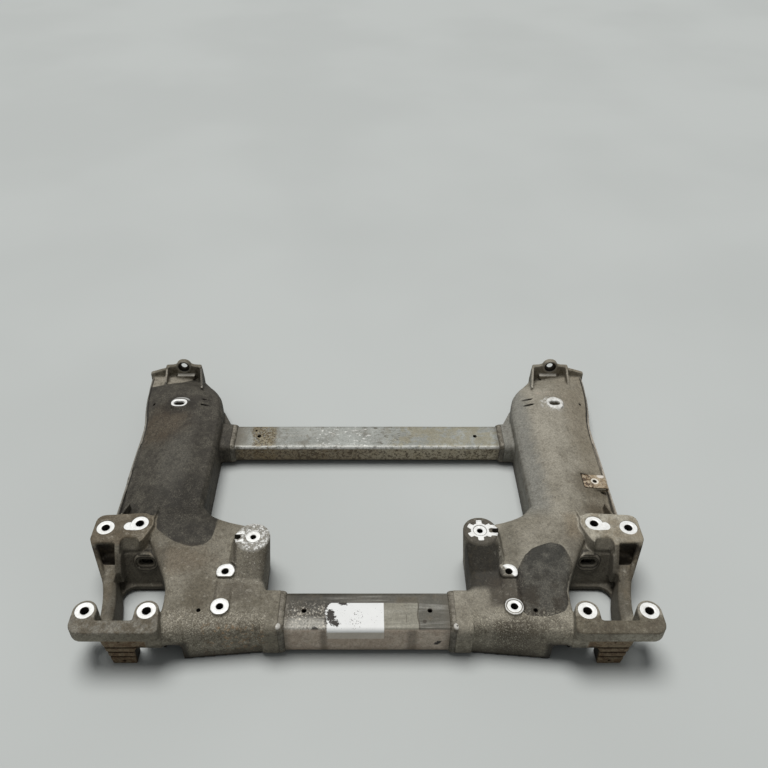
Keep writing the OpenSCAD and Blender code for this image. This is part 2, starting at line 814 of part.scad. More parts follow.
// Boss with the slotted bolt hole on the rear wall of the pocket, and the lip along the wall's foot
module pocket_slot_boss() {
    at_slot_boss()
        translate([0, 0, -wall])
            cylinder(d = slot_boss_d, h = wall + slot_boss_t);
    translate([0, 0, pocket_lip_z[0]])
        linear_extrude(pocket_lip_z[1] - pocket_lip_z[0])
            polygon(concat(
                [[pocket_lip_x[0], pocket_lip_y[1]], [pocket_lip_x[0], pocket_lip_y[0]]],
                arc(
                    [pocket_lip_x[1] - pocket_lip_w - pocket_lip_r, pocket_lip_y[0] - pocket_lip_r],
                    pocket_lip_r, 90, 0
                ),
                [[pocket_lip_x[1], pocket_lip_y[0] - pocket_lip_r], [pocket_lip_x[1], pocket_lip_y[1]]]
            ));
}

// Slotted bolt hole in the rear wall of the pocket, with its sunk face
module pocket_slot() {
    reach = 2 * slot_boss_d;
    border = 2 * slot_sink_border;
    translate([pocket_slot_x, slot_boss_y + slot_boss_d, pocket_slot_z])
        rotate([90, 0, 0])
            slot(pocket_slot_l, pocket_slot_w, reach);
    at_slot_boss()
        translate([0, 0, slot_boss_t - slot_sink_depth])
            slot(pocket_slot_l + border, pocket_slot_w + border, reach);
}

// Bosses for the steering rack and the low web between them
module rack_bosses() {
    for (b = [[rack_rear_y, rack_rear_z], [rack_front_y, rack_front_z]])
        translate([rack_x, b[0], rack_boss_bottom])
            cylinder(d = rack_boss_d, h = b[1] - rack_boss_bottom);
    translate([rack_x - rack_web_w / 2, rack_front_y, deck_z - wall])
        cube([rack_web_w, rack_rear_y - rack_front_y, wall + rack_web_rise]);
}

// Rear wall that rises to the lug, the boss round its hole, the two braces and the ledge below
module rear_end() {
    shoulder_z = rear_shoulder_z - shoulder_fall;
    wall_y = y_rear - rear_wall_t;
    across(wall_y, y_rear)
        polygon(concat(
            [[rear_inner_x, 0], [x_rear, 0], [x_rear, rear_rim_z - rim_fall]],
            [[brace_x[1] + rim_step, rear_rim_z], [brace_x[1] + shoulder_fall, shoulder_z]],
            [[lug_x + lug_neck, rear_shoulder_z]],
            arc([lug_x, lug_hole_z], lug_r, lug_arc[0], lug_arc[1]),
            [[lug_x - lug_neck, rear_shoulder_z], [brace_x[0] - shoulder_fall, shoulder_z]],
            [[brace_x[0] - rim_step, rear_rim_z - 2 * rim_step], [rear_inner_x, rear_corner_z]]
        ));
    across(y_rear - lug_boss_l, y_rear - lug_step)
        translate([lug_x, lug_hole_z])
            circle(r = lug_r - lug_step);
    across(y_rear - lug_boss_l - lug_ring_t, y_rear - lug_step)
        translate([lug_x, lug_hole_z])
            circle(d = lug_ring_d);
    for (k = [0, 1])
        translate([brace_x[k], y_rear, 0])
            rotate([0, 0, brace_turn[k]])
                along(-brace_t / 2, brace_t / 2)
                    polygon([
                        [-brace_l[k], member_outer_z], [brace_toe - brace_l[k], brace_bottom],
                        [-lug_step, brace_bottom], [-lug_step, brace_top_z],
                        [-rear_wall_t, brace_top_z], [-brace_l[k], brace_front_z[k]]
                    ]);
    translate([ledge_x - ledge_l / 2, wall_y - ledge_w, ledge_bottom])
        cube([ledge_l, ledge_w + lug_step, ledge_h]);
}

// Boss round the slotted hole in the member
module member_boss() {
    translate([member_slot_x, member_slot_y, rib_bottom])
        cylinder(d = member_boss_d, h = member_crown_z + member_boss_rise - rib_bottom);
}

// Web from the rear tube's collar out to the diagonal edge behind it
module tube_web() {
    y0 = rear_tube_y + rear_tube_depth / 2;
    translate([0, 0, tube_bottom])
        linear_extrude(tube_web_h)
            polygon([
                [member_inner_x - collar_reach + tube_web_start, y0], [member_inner_x + wall, y0],
                [member_inner_x + tube_web_tip[1], y0 + tube_web_l],
                [member_inner_x + tube_web_tip[0], y0 + tube_web_l]
            ]);
}

// Bolt hole with a machined ring at height z
module pad_hole(x, y, z) {
    translate([x, y, -past])
        cylinder(d = pad_hole_d, h = z + 2 * past);
    translate([x, y, z - pad_face_depth])
        cylinder(d = pad_face_d, h = pad_face_depth + past);
}

// Solid boss below the engine bolt and the small ear round the locating hole
module engine_bosses(engine_y) {
    translate([pedestal_x, engine_y, pedestal_z - engine_boss_h])
        cylinder(r = engine_boss_r, h = engine_boss_h - past);
    translate([pedestal_x + locating_hole_offset, engine_y, pedestal_z - locating_ear_h])
        cylinder(r = locating_ear_r, h = locating_ear_h - locating_ear_drop);
}

// Bolt hole and locating hole in the top of the pedestal
module engine_holes(engine_y) {
    translate([pedestal_x, engine_y, pedestal_z - engine_hole_depth])
        cylinder(d = engine_hole_d, h = engine_hole_depth + past);
    translate([pedestal_x, engine_y, pedestal_z - pad_face_depth])
        cylinder(d = engine_face_d, h = pad_face_depth + past);
    translate([pedestal_x + locating_hole_offset, engine_y, pedestal_z - locating_hole_depth])
        cylinder(d = engine_hole_d, h = locating_hole_depth + past);
}

// Holes of the casting that are the same on both sides
module casting_holes() {
    pad_hole(front_pad_inner_x, front_pad_y, front_pad_z);
    pad_hole(front_pad_outer_x, front_pad_y, front_pad_z);
    pad_hole(block_inner_bolt_x, block_inner_bolt_y, block_z);
    pad_hole(block_outer_bolt_x, block_outer_bolt_y, block_z);
    for (b = [[rack_rear_y, rack_rear_z], [rack_front_y, rack_front_z]])
        translate([rack_x, b[0], -past])
            cylinder(d = rack_hole_d, h = b[1] + 2 * past);
    translate([deck_hole.x, deck_hole.y, rib_bottom])
        cylinder(d = deck_hole_d, h = member_crown_z);
    pocket_slot();
    translate([member_slot_x, member_slot_y, -past])
        slot(member_slot_l, member_slot_w, member_crown_z + 3 * past);
    translate([member_hole.x, member_hole.y, rib_bottom])
        cylinder(d = member_hole_d, h = member_crown_z);
    translate([lug_x, y_rear + past, lug_hole_z])
        rotate([90, 0, 0])
            cylinder(d = lug_hole_d, h = lug_boss_l + lug_ring_t + 2 * past);
    across(y_rear - lug_boss_l - lug_ring_t - past, y_rear - lug_boss_l - lug_ring_t + lug_sink_depth)
        translate([lug_x, lug_hole_z])
            circle(d = lug_sink_d);
    for (n = notches)
        translate([n.x - notch_l / 2, n.y - notch_w / 2, notch_z])
            cube([notch_l, notch_w, member_crown_z]);
    translate([rack_x - rack_boss_d, rack_rear_y - rack_boss_d - rack_rear_flat, rack_flat_z])
        cube([2 * rack_boss_d, rack_boss_d, rack_rear_z]);
}

// One side casting, as it is on the right, with its engine bolt at engine_y
module side_casting(engine_y) {
    difference() {
        union() {
            shell(engine_y);
            collar(deck_inner_x, front_tube_y, front_tube_depth, front_tube_height);
            collar(member_inner_x, rear_tube_y, rear_tube_depth, rear_tube_height);
            outer_flange();
            front_bar();
            outer_arm();
            rear_block();
            pocket_slot_boss();
            rack_bosses();
            engine_bosses(engine_y);
            rear_end();
            member_boss();
            tube_web();
        }
        socket(deck_inner_x, front_tube_y, front_tube_depth, front_tube_height);
        socket(member_inner_x, rear_tube_y, rear_tube_depth, rear_tube_height);
        column_grooves();
        arch();
        block_recess();
        engine_holes(engine_y);
        casting_holes();
    }
}

// Top of the member at x, at the station beside the clip nut
function clip_seat_z(x) =
    let (
        s = member_stations[clip_station],
        x0 = s[1] + inner_edge_r,
        x1 = s[2] - outer_edge_r
    )
    crown(s[3], s[4], s[5], (x - x0) / (x1 - x0));

// Frame of the clip nut at the outer end of its seat: its X runs outwards, and its XY plane is the seat
module at_clip() {
    translate([clip_in_x, clip_y, clip_seat_z(clip_in_x) - clip_sink])
        rotate([0, clip_tilt, 0])
            translate([clip_l, 0, 0])
                children();
}

// Tab of the casting that the clip nut holds
module clip_tab() {
    at_clip()
        translate([-clip_l - clip_border, -clip_w / 2 - clip_border, -clip_tab_t])
            cube([clip_l + clip_border + clip_edge, clip_w + 2 * clip_border, clip_tab_t]);
}

// Room for the clip nut over, below and outside its tab
module clip_room() {
    room_w = clip_w + 2 * clip_border;
    at_clip() {
        translate([-clip_l - clip_border, -room_w / 2, 0])
            cube([clip_l + clip_window_l, room_w, clip_window_h]);
        translate([-clip_window_l, -room_w / 2, -clip_tab_t - clip_window_h])
            cube([2 * clip_window_l, room_w, clip_window_h]);
        translate([clip_edge, -room_w / 2, -clip_tab_t - clip_window_h])
            cube([clip_window_l, room_w, clip_tab_t + 2 * clip_window_h]);
        translate([clip_hole_x, 0, -clip_tab_t - clip_window_h])
            cylinder(d = clip_hole_d + clip_border, h = clip_tab_t + 2 * clip_window_h);
    }
}

module left_side_casting() {
    color(casting_colour)
        mirror([1, 0, 0])
            side_casting(left_engine_y);
}

module right_side_casting() {
    color(casting_colour)
        difference() {
            union() {
                side_casting(right_engine_y);
                clip_tab();
            }
            clip_room();
        }
}

// Sheet steel clip folded round the tab, with a nut barrel below its hole
module clip_nut() {
    gap = clip_tab_t + clip_fit;
    bend = [clip_edge + clip_fit, -gap / 2];
    color(clip_colour)
        at_clip()
            difference() {
                union() {
                    across(-clip_w / 2, clip_w / 2)
                        polygon(concat(
                            [[-clip_l, clip_t]],
                            arc(bend, gap / 2 + clip_t, 90, -90),
                            [[-clip_lower_l, -gap - clip_t], [-clip_lower_l, -gap]],
                            arc(bend, gap / 2, -90, 90),
                            [[-clip_l, 0]]
                        ));
                    translate([clip_hole_x, 0, -gap - clip_t - clip_nut_h])
                        cylinder(d = clip_nut_d, h = clip_nut_h + clip_t / 2);
                }
                translate([clip_hole_x, 0, -gap - clip_t - clip_nut_h - past])
                    cylinder(d = clip_hole_d, h = gap + 2 * clip_t + clip_nut_h + 2 * past);
            }
}

// Cross tube between the sockets of both castings
module cross_tube(wall_x, y, depth, height, hole_x) {
    half = wall_x - collar_reach + tube_insert;
    bore = 2 * tube_wall;
    difference() {
        translate([-half, y, tube_bottom + height / 2])
            rotate([90, 0, 90])
                linear_extrude(2 * half)
                    difference() {
                        rounded_rectangle(depth, height, tube_corner_r);
                        rounded_rectangle(depth - bore, height - bore, tube_corner_r - tube_wall);
                    }
        for (side = [-1, 1])
            translate([side * hole_x, y, tube_bottom + height / 2])
                cylinder(d = tube_hole_d, h = height);
    }
}

module front_cross_tube() {
    color(tube_colour)
        cross_tube(deck_inner_x, front_tube_y, front_tube_depth, front_tube_height, front_tube_hole_x);
}

module rear_cross_tube() {
    color(tube_colour)
        difference() {
            cross_tube(member_inner_x, rear_tube_y, rear_tube_depth, rear_tube_height, rear_tube_hole_x);
            translate([small_hole.x, rear_tube_y + small_hole.y, tube_bottom + rear_tube_height / 2])
                cylinder(d = small_hole_d, h = rear_tube_height);
        }
}

// Rounded section of a weld bead in the corner between a collar's end and the tube
module bead_section() {
    quarter = arc([0, 0], 1, 0, 90);
    polygon(concat([[0, 0]], [for (p = quarter) [weld_leg * p.x, weld_run * p.y]]));
}

// Straight stretch of a weld bead of a length, at a distance from the middle of the tube
module bead_side(length, distance) {
    translate([-length / 2, distance, 0])
        rotate([90, 0, 90])
            linear_extrude(length)
                bead_section();
}

// Weld bead round a tube at the mouth of the right-hand collar
module weld_bead(wall_x, y, depth, height) {
    side_x = depth / 2 - tube_corner_r;
    side_y = height / 2 - tube_corner_r;
    corners = [[side_x, side_y], [-side_x, side_y], [-side_x, -side_y], [side_x, -side_y]];
    translate([wall_x - collar_reach, y, tube_bottom + height / 2])
        rotate([90, 0, -90]) {
            for (k = [0 : 3])
                translate([corners[k].x, corners[k].y, 0])
                    rotate([0, 0, 90 * k])
                        rotate_extrude(angle = 90)
                            translate([tube_corner_r, 0])
                                bead_section();
            for (turn = [0, 180]) {
                rotate([0, 0, turn])
                    bead_side(2 * side_x, height / 2);
                rotate([0, 0, turn + 90])
                    bead_side(2 * side_y, depth / 2);
            }
        }
}

module front_left_weld() {
    color(weld_colour)
        mirror([1, 0, 0])
            weld_bead(deck_inner_x, front_tube_y, front_tube_depth, front_tube_height);
}

module front_right_weld() {
    color(weld_colour)
        weld_bead(deck_inner_x, front_tube_y, front_tube_depth, front_tube_height);
}

module rear_left_weld() {
    color(weld_colour)
        mirror([1, 0, 0])
            weld_bead(member_inner_x, rear_tube_y, rear_tube_depth, rear_tube_height);
}

module rear_right_weld() {
    color(weld_colour)
        weld_bead(member_inner_x, rear_tube_y, rear_tube_depth, rear_tube_height);
}

left_side_casting();
right_side_casting();
front_cross_tube();
rear_cross_tube();
front_left_weld();
front_right_weld();
rear_left_weld();
rear_right_weld();
clip_nut();
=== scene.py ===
import math

import bmesh
import bpy
import numpy as np
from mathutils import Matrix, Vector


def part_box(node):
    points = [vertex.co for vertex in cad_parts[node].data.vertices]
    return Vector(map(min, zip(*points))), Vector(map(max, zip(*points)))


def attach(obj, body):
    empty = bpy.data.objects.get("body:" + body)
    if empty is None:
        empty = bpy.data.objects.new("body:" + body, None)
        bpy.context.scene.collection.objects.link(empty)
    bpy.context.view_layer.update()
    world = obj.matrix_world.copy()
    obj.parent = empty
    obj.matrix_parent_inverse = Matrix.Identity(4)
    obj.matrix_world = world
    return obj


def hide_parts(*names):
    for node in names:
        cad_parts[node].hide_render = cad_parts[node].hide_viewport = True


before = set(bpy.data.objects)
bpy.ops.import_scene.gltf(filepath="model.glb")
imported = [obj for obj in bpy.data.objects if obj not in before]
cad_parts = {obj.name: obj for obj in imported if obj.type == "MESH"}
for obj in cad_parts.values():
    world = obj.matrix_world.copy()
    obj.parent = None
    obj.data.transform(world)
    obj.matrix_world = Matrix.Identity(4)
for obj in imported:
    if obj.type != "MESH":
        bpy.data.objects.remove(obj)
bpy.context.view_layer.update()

MM = 0.001

# Places on the right-hand side, in millimetres. The left-hand side is their mirror image.
FRONT_PADS = [(359, -313), (460, -313)]
FRONT_PAD_Z = 95
BLOCK_PADS = [(408, -137), (467, -147)]
BLOCK_Z = 105
PAD_HOLE_R = 7.0
PAD_FACE_R = 16.0
PAD_FACE_DEPTH = 1.0
RACK_REAR = (244, -228, 86)
RACK_FRONT = (244, -296, 82)
RACK_HOLE_R = 6.0
RACK_BOSS_R = 16.0
RACK_FLAT = 11
RACK_FLAT_Z = 80
ENGINE_X = 200
ENGINE_Y = {1: -158, -1: -172}
ENGINE_Z = 110
ENGINE_HOLE_R = 5.0
ENGINE_SINK_R = 11.5
ENGINE_FACE_R = 20.5
LOCATING_X = 227
MEMBER_SLOT = (407, 217)
MEMBER_SLOT_SIZE = (23, 12.5)
NOTCHES = [(351, 235), (351, 215)]
NOTCH_SIZE = (18, 4)
NOTCH_Z = 79
POCKET_SLOT = (393, -188.5, 60)
POCKET_LEAN = math.atan(0.3)
POCKET_BOSS = 4
LUG = (421, 344, 85)
LUG_HOLE_R = 6.75
LUG_RING_R = 16.5
LUG_SINK_R = 12.5
LUG_SINK_DEPTH = 6
LEDGE = (417.5, 341)
DECK_HOLE = (279, -300)
DECK_HOLE_R = 3.5
MEMBER_HOLE = (469, 236)
MEMBER_HOLE_R = 3.0
COLUMN = (402, -351)
GROOVES_Z = (17, 30, 43)
GROOVE_SIZE = (80, 3, 4)
COLUMN_HOLES_Z = (8, 63)
COLUMN_HOLE_R = 2.5
CLIP_SEAT = (421, -7, 76.3)
CLIP_TILT = math.radians(4)
CLIP_HOLE = 23
CLIP_HOLE_R = 5.2
TUBE_HOLE_R = 4.3
FRONT_TUBE_HOLES = [(-105, -295, TUBE_HOLE_R), (105, -295, TUBE_HOLE_R)]
REAR_TUBE_HOLES = [(-230, 153, TUBE_HOLE_R), (230, 153, TUBE_HOLE_R), (-238, 170, 2.5)]
TUBE_WALL = 4.0
TUBE_CORNER = 8.0
FRONT_WELD_X = 136
REAR_WELD_X = 278
WELD_LEG = 5.0
WELD_RUN = 11.0
WELD_FILL = 0.88
WELD_RIPPLE = 4.2
WELD_BALL = 4.0

# How far the cutting tools reach past a surface, in millimetres
PAST = 20

# Fineness of the cast skin, of the tubes and of the weld beads
CAST_VOXEL = 0.0017
CAST_ROUNDS = 7
CAST_TRIANGLES = 165000
TUBE_POINTS = 96
TUBE_STEPS = 120
WELD_POINTS = 420
WELD_ACROSS = 11

# Edges sharper than these angles, in degrees, stay sharp in the shading
CAST_SHARP = 38
SHEET_SHARP = 35
WELD_SHARP = 60

# Camera, worked out from the photo in pixels, and the light
PICTURE = 768
FOCAL = 771
MIDDLE_X = 367
CAMERA_PLACE = (0, -1.056, 1.170)
CAMERA_DOWN = 39
SENSOR = 36
SUN_LEVEL = 2.5
SUN_WIDTH = 34
SUN_TURN = (-13, -6)
SKY_COLOUR = (0.95, 0.98, 1.0, 1.0)
SKY_LEVEL = 0.18
FLOOR_HALF = 14.0


def lin(r, g, b):
    """Linear colour for an 8-bit display colour."""
    def one(v):
        v /= 255
        return v / 12.92 if v <= 0.04045 else ((v + 0.055) / 1.055) ** 2.4
    return (one(r), one(g), one(b), 1.0)


class Paint:
    """A node material whose masks come from places on the part, in millimetres."""

    def __init__(self, name, side=1):
        self.material = bpy.data.materials.new(name)
        self.material.use_nodes = True
        self.tree = self.material.node_tree
        self.tree.nodes.clear()
        out = self.node("OutputMaterial")
        self.shader = self.node("BsdfPrincipled")
        self.join(self.shader.outputs[0], out.inputs[0])
        self.pos = self.times(self.node("TexCoord").outputs["Object"], (1000 * side, 1000, 1000))
        self.x, self.y, self.z = self.split(self.pos)
        geometry = self.node("NewGeometry")
        self.nx, self.ny, self.nz = self.split(self.times(geometry.outputs["Normal"], (side, 1, 1)))
        self.point = geometry.outputs["Pointiness"]
        self.colour = None
        self.bare = None

    def node(self, kind):
        """New shader node of a kind."""
        return self.tree.nodes.new("ShaderNode" + kind)

    def join(self, a, b):
        self.tree.links.new(a, b)

    def put(self, value, socket):
        """Sets a socket to a constant, or joins another node's output to it."""
        if isinstance(value, bpy.types.NodeSocket):
            self.join(value, socket)
        else:
            socket.default_value = value

    def split(self, vector):
        n = self.node("SeparateXYZ")
        self.join(vector, n.inputs[0])
        return n.outputs

    def times(self, vector, factors):
        n = self.node("VectorMath")
        n.operation = "MULTIPLY"
        self.join(vector, n.inputs[0])
        n.inputs[1].default_value = factors
        return n.outputs[0]

    def math(self, op, a, b=None):
        n = self.node("Math")
        n.operation = op
        self.put(a, n.inputs[0])
        if b is not None:
            self.put(b, n.inputs[1])
        return n.outputs[0]

    def fold(self, op, values):
        out = values[0]
        for v in values[1:]:
            out = self.math(op, out, v)
        return out

    def add(self, *values):
        return self.fold("ADD", values)

    def sub(self, a, b):
        return self.math("SUBTRACT", a, b)

    def mul(self, *values):
        return self.fold("MULTIPLY", values)

    def most(self, *values):
        return self.fold("MAXIMUM", values)

    def inv(self, a):
        return self.math("SUBTRACT", 1.0, a)

    def step(self, value, low, high):
        """0 at low, 1 at high, smooth between; low may be the larger one."""
        n = self.node("MapRange")
        n.interpolation_type = "SMOOTHSTEP"
        self.put(value, n.inputs[0])
        n.inputs[1].default_value = min(low, high)
        n.inputs[2].default_value = max(low, high)
        n.inputs[3].default_value = 1.0 if low > high else 0.0
        n.inputs[4].default_value = 0.0 if low > high else 1.0
        return n.outputs[0]

    def curve(self, value, points):
        """Number read off a line through (value, number) points."""
        first, last = points[0][0], points[-1][0]
        low = min(p[1] for p in points)
        high = max(p[1] for p in points)
        scale = self.node("MapRange")
        self.put(value, scale.inputs[0])
        scale.inputs[1].default_value = first
        scale.inputs[2].default_value = last
        n = self.node("FloatCurve")
        self.join(scale.outputs[0], n.inputs["Value"])
        line = n.mapping.curves[0]
        for k, (at, number) in enumerate(points):
            place = ((at - first) / (last - first), (number - low) / (high - low))
            if k == 0:
                line.points[0].location = place
            elif k == len(points) - 1:
                line.points[-1].location = place
            else:
                line.points.new(*place)
        n.mapping.update()
        return self.add(self.mul(n.outputs[0], high - low), low)

    def noise(self, size, detail=3.0, rough=0.55, seed=0.0, stretch=None):
        """Noise between about 0.3 and 0.7, with lumps of a size in millimetres."""
        n = self.node("TexNoise")
        n.noise_dimensions = "4D"
        n.inputs["Scale"].default_value = 1.0 / size
        n.inputs["Detail"].default_value = detail
        n.inputs["Roughness"].default_value = rough
        n.inputs["W"].default_value = seed
        self.join(self.times(self.pos, stretch) if stretch else self.pos, n.inputs["Vector"])
        return n.outputs["Fac"]

    def spots(self, low, high, *args, **more):
        """Noise cut to spots: 0 where it is at low, 1 where it is at high."""
        return self.step(self.noise(*args, **more), low, high)

    def length(self, a, b):
        """Length of a line from its two sides."""
        return self.math("SQRT", self.add(self.mul(a, a), self.mul(b, b)))

    def cells(self, size, seed=0.0):
        """Distance from the middle of cells of a size in millimetres."""
        n = self.node("TexVoronoi")
        n.voronoi_dimensions = "4D"
        n.inputs["Scale"].default_value = 1.0 / size
        n.inputs["W"].default_value = seed
        self.join(self.pos, n.inputs["Vector"])
        return n.outputs["Distance"]

    def mix(self, factor, a, b, blend="MIX"):
        """Mix of two colours, each the output of a node or an 8-bit display colour."""
        n = self.node("Mix")
        n.data_type = "RGBA"
        n.blend_type = blend
        self.put(factor, n.inputs[0])
        for colour, socket in ((a, n.inputs[6]), (b, n.inputs[7])):
            self.put(lin(*colour) if isinstance(colour, tuple) else colour, socket)
        return n.outputs[2]

    def tint(self, colour, factor):
        """Colour times a grey factor."""
        grey = self.node("CombineColor")
        for k in range(3):
            self.put(factor, grey.inputs[k])
        return self.mix(1.0, colour, grey.outputs[0], "MULTIPLY")

    def blend(self, factor, a, b):
        """Number between a and b."""
        return self.add(self.mul(self.inv(factor), a), self.mul(factor, b))

    def dist(self, cx, cy, sx=1.0, sy=1.0):
        """Distance in plan from a point, with the axes scaled."""
        dx = self.mul(self.sub(self.x, cx), sx)
        dy = self.mul(self.sub(self.y, cy), sy)
        return self.length(dx, dy)

    def angle(self, cx, cy):
        return self.math("ARCTAN2", self.sub(self.y, cy), self.sub(self.x, cx))

    def oval(self, cx, cy, rx, ry, soft=0.15, wobble=None):
        """1 inside an oval in plan, 0 outside, with a soft edge."""
        d = self.dist(cx, cy, 1.0 / rx, 1.0 / ry)
        if wobble is not None:
            d = self.add(d, wobble)
        return self.step(d, 1.0 + soft / 2, 1.0 - soft / 2)

    def smudge(self, cx, cy, rx, ry):
        """Oval with a very soft and uneven edge."""
        return self.oval(cx, cy, rx, ry, 0.9, self.wobble)

    def band(self, value, low, high, soft):
        """1 between two values, with soft edges."""
        return self.mul(self.step(value, low - soft, low + soft), self.step(value, high + soft, high - soft))

    def box(self, x0, x1, y0, y1, soft):
        """1 inside a rectangle in plan, with soft edges."""
        return self.mul(self.band(self.x, x0, x1, soft), self.band(self.y, y0, y1, soft))

    def stain(self, mask, colour, amount):
        """Lays a colour over the paint where a mask says so, or where all masks of a list do."""
        masks = mask if isinstance(mask, list) else [mask]
        self.colour = self.mix(self.mul(*masks, amount), self.colour, colour)

    def shine(self, mask):
        """Adds to the places that are bare metal."""
        self.bare = mask if self.bare is None else self.most(self.bare, mask)

    def bump(self, height, strength, distance):
        n = self.node("Bump")
        n.inputs["Strength"].default_value = strength
        n.inputs["Distance"].default_value = distance
        self.put(height, n.inputs["Height"])
        self.join(n.outputs[0], self.shader.inputs["Normal"])

    def finish(self, roughness, metallic=0.0, specular=0.5):
        self.put(self.colour, self.shader.inputs["Base Color"])
        self.put(roughness, self.shader.inputs["Roughness"])
        self.put(metallic, self.shader.inputs["Metallic"])
        self.shader.inputs["Specular IOR Level"].default_value = specular
        return self.material


def right_stains(p):
    """Tan right-hand casting with a tongue of oil on its deck."""
    ey = ENGINE_Y[1]
    p.colour = p.mix(p.step(p.big, 0.36, 0.64), (130, 124, 110), (154, 148, 134))
    # Bluish inner slope of the member, browner outer slope, paler crown
    inner = p.step(p.add(p.x, p.mul(p.wobble, 40)), 360, 330)
    p.stain([p.step(p.y, -120, -60), inner], (126, 125, 118), 0.8)
    outer = p.step(p.add(p.x, p.mul(p.wobble, 60)), 400, 450)
    p.stain([p.step(p.y, -110, -60), outer], (132, 122, 104), 0.6)
    p.stain(p.smudge(372, 150, 22, 120), (162, 156, 142), 0.6)
    p.stain(p.oval(425, 310, 60, 40, 0.5, p.wobble), (142, 136, 122), 0.6)
    p.stain([p.box(372, 440, 244, 262, 4), p.step(p.patch, 0.5, 0.58)], (186, 174, 158), 0.6)
    # Tongue: its two edges as lines along the car, with a darker rim
    drift = p.add(p.x, p.mul(p.wobble, 7.0))
    near = p.curve(p.y, [(-313, 320), (-309, 262), (-297, 256), (-283, 252), (-259, 254), (-238, 256),
                         (-220, 262), (-200, 272), (-180, 290), (-172, 308), (-165, 340)])
    far = p.curve(p.y, [(-313, 290), (-306, 318), (-297, 331), (-278, 338), (-253, 341), (-232, 350),
                        (-211, 358), (-192, 355), (-175, 347), (-169, 335), (-165, 310)])
    depth = p.math("MINIMUM", p.sub(drift, near), p.sub(far, drift))
    oil = p.mix(p.step(p.y, -290, -200), (53, 47, 38), (54, 53, 48))
    oil = p.mix(p.mul(p.step(p.blotch, 0.42, 0.6), 0.7), oil, (88, 86, 79))
    oil = p.mix(p.mul(p.step(depth, 8, 1), 0.6), oil, (42, 39, 34))
    p.oily = p.mul(p.step(depth, -1.2, 1.2), p.step(p.z, 68, 74))
    p.stain(p.oily, oil, 0.96)
    # Dark front of the pedestal, with a worn light line along its outer corner
    p.stain([p.box(160, 236, -256, ey - 20, 8), p.step(p.z, 112, 106)], (48, 45, 39), 0.95)
    corner = p.mul(p.box(231, 239, -230, ey - 12, 2.0), p.step(p.patch, 0.46, 0.54))
    p.stain(corner, (190, 184, 170), 0.85)
    # Painted shadow on the deck beside the pedestal
    p.stain(p.smudge(252, -170, 22, 46), (104, 99, 86), 0.7)
    p.stain(p.box(206, 256, -292, -236, 7), (66, 60, 51), 0.85)
    p.stain(p.smudge(262, -240, 9, 24), (44, 40, 34), 0.75)
    p.stain(p.smudge(246, -332, 40, 17), (74, 67, 57), 0.85)
    p.stain([p.box(180, 345, -350, -308, 10), p.step(p.blotch, 0.46, 0.62)], (78, 71, 59), 0.6)
    # Rim of the engine pad
    rim = p.mul(p.oval(ENGINE_X, ey, 44, 44, 0.3), p.step(p.z, ENGINE_Z - 4, ENGINE_Z - 2))
    p.stain(rim, (78, 73, 64), 0.85)
    # Arm, browner than the other one
    p.stain([p.box(436, 500, -292, -176, 5), p.step(p.patch, 0.34, 0.5)], (82, 74, 60), 0.75)
    # Brown hollow round the block, the clip and the head of the arm
    p.stain(p.smudge(430, -16, 34, 34), (100, 92, 77), 0.75)
    p.stain(p.oval(448, -84, 40, 24, 0.8, p.wobble), (96, 87, 72), 0.85)
    p.stain(p.smudge(372, -158, 22, 26), (112, 105, 92), 0.7)
    p.stain(p.box(360, 384, -160, -100, 10), (126, 113, 92), 0.5)
    # Fine pale bloom along the front of the deck
    front = p.mul(p.box(166, 345, -346, -300, 10), p.spots(0.5, 0.64, 2.0, 3, 0.8, 91.0))
    p.stain(front, (204, 198, 178), 0.6)


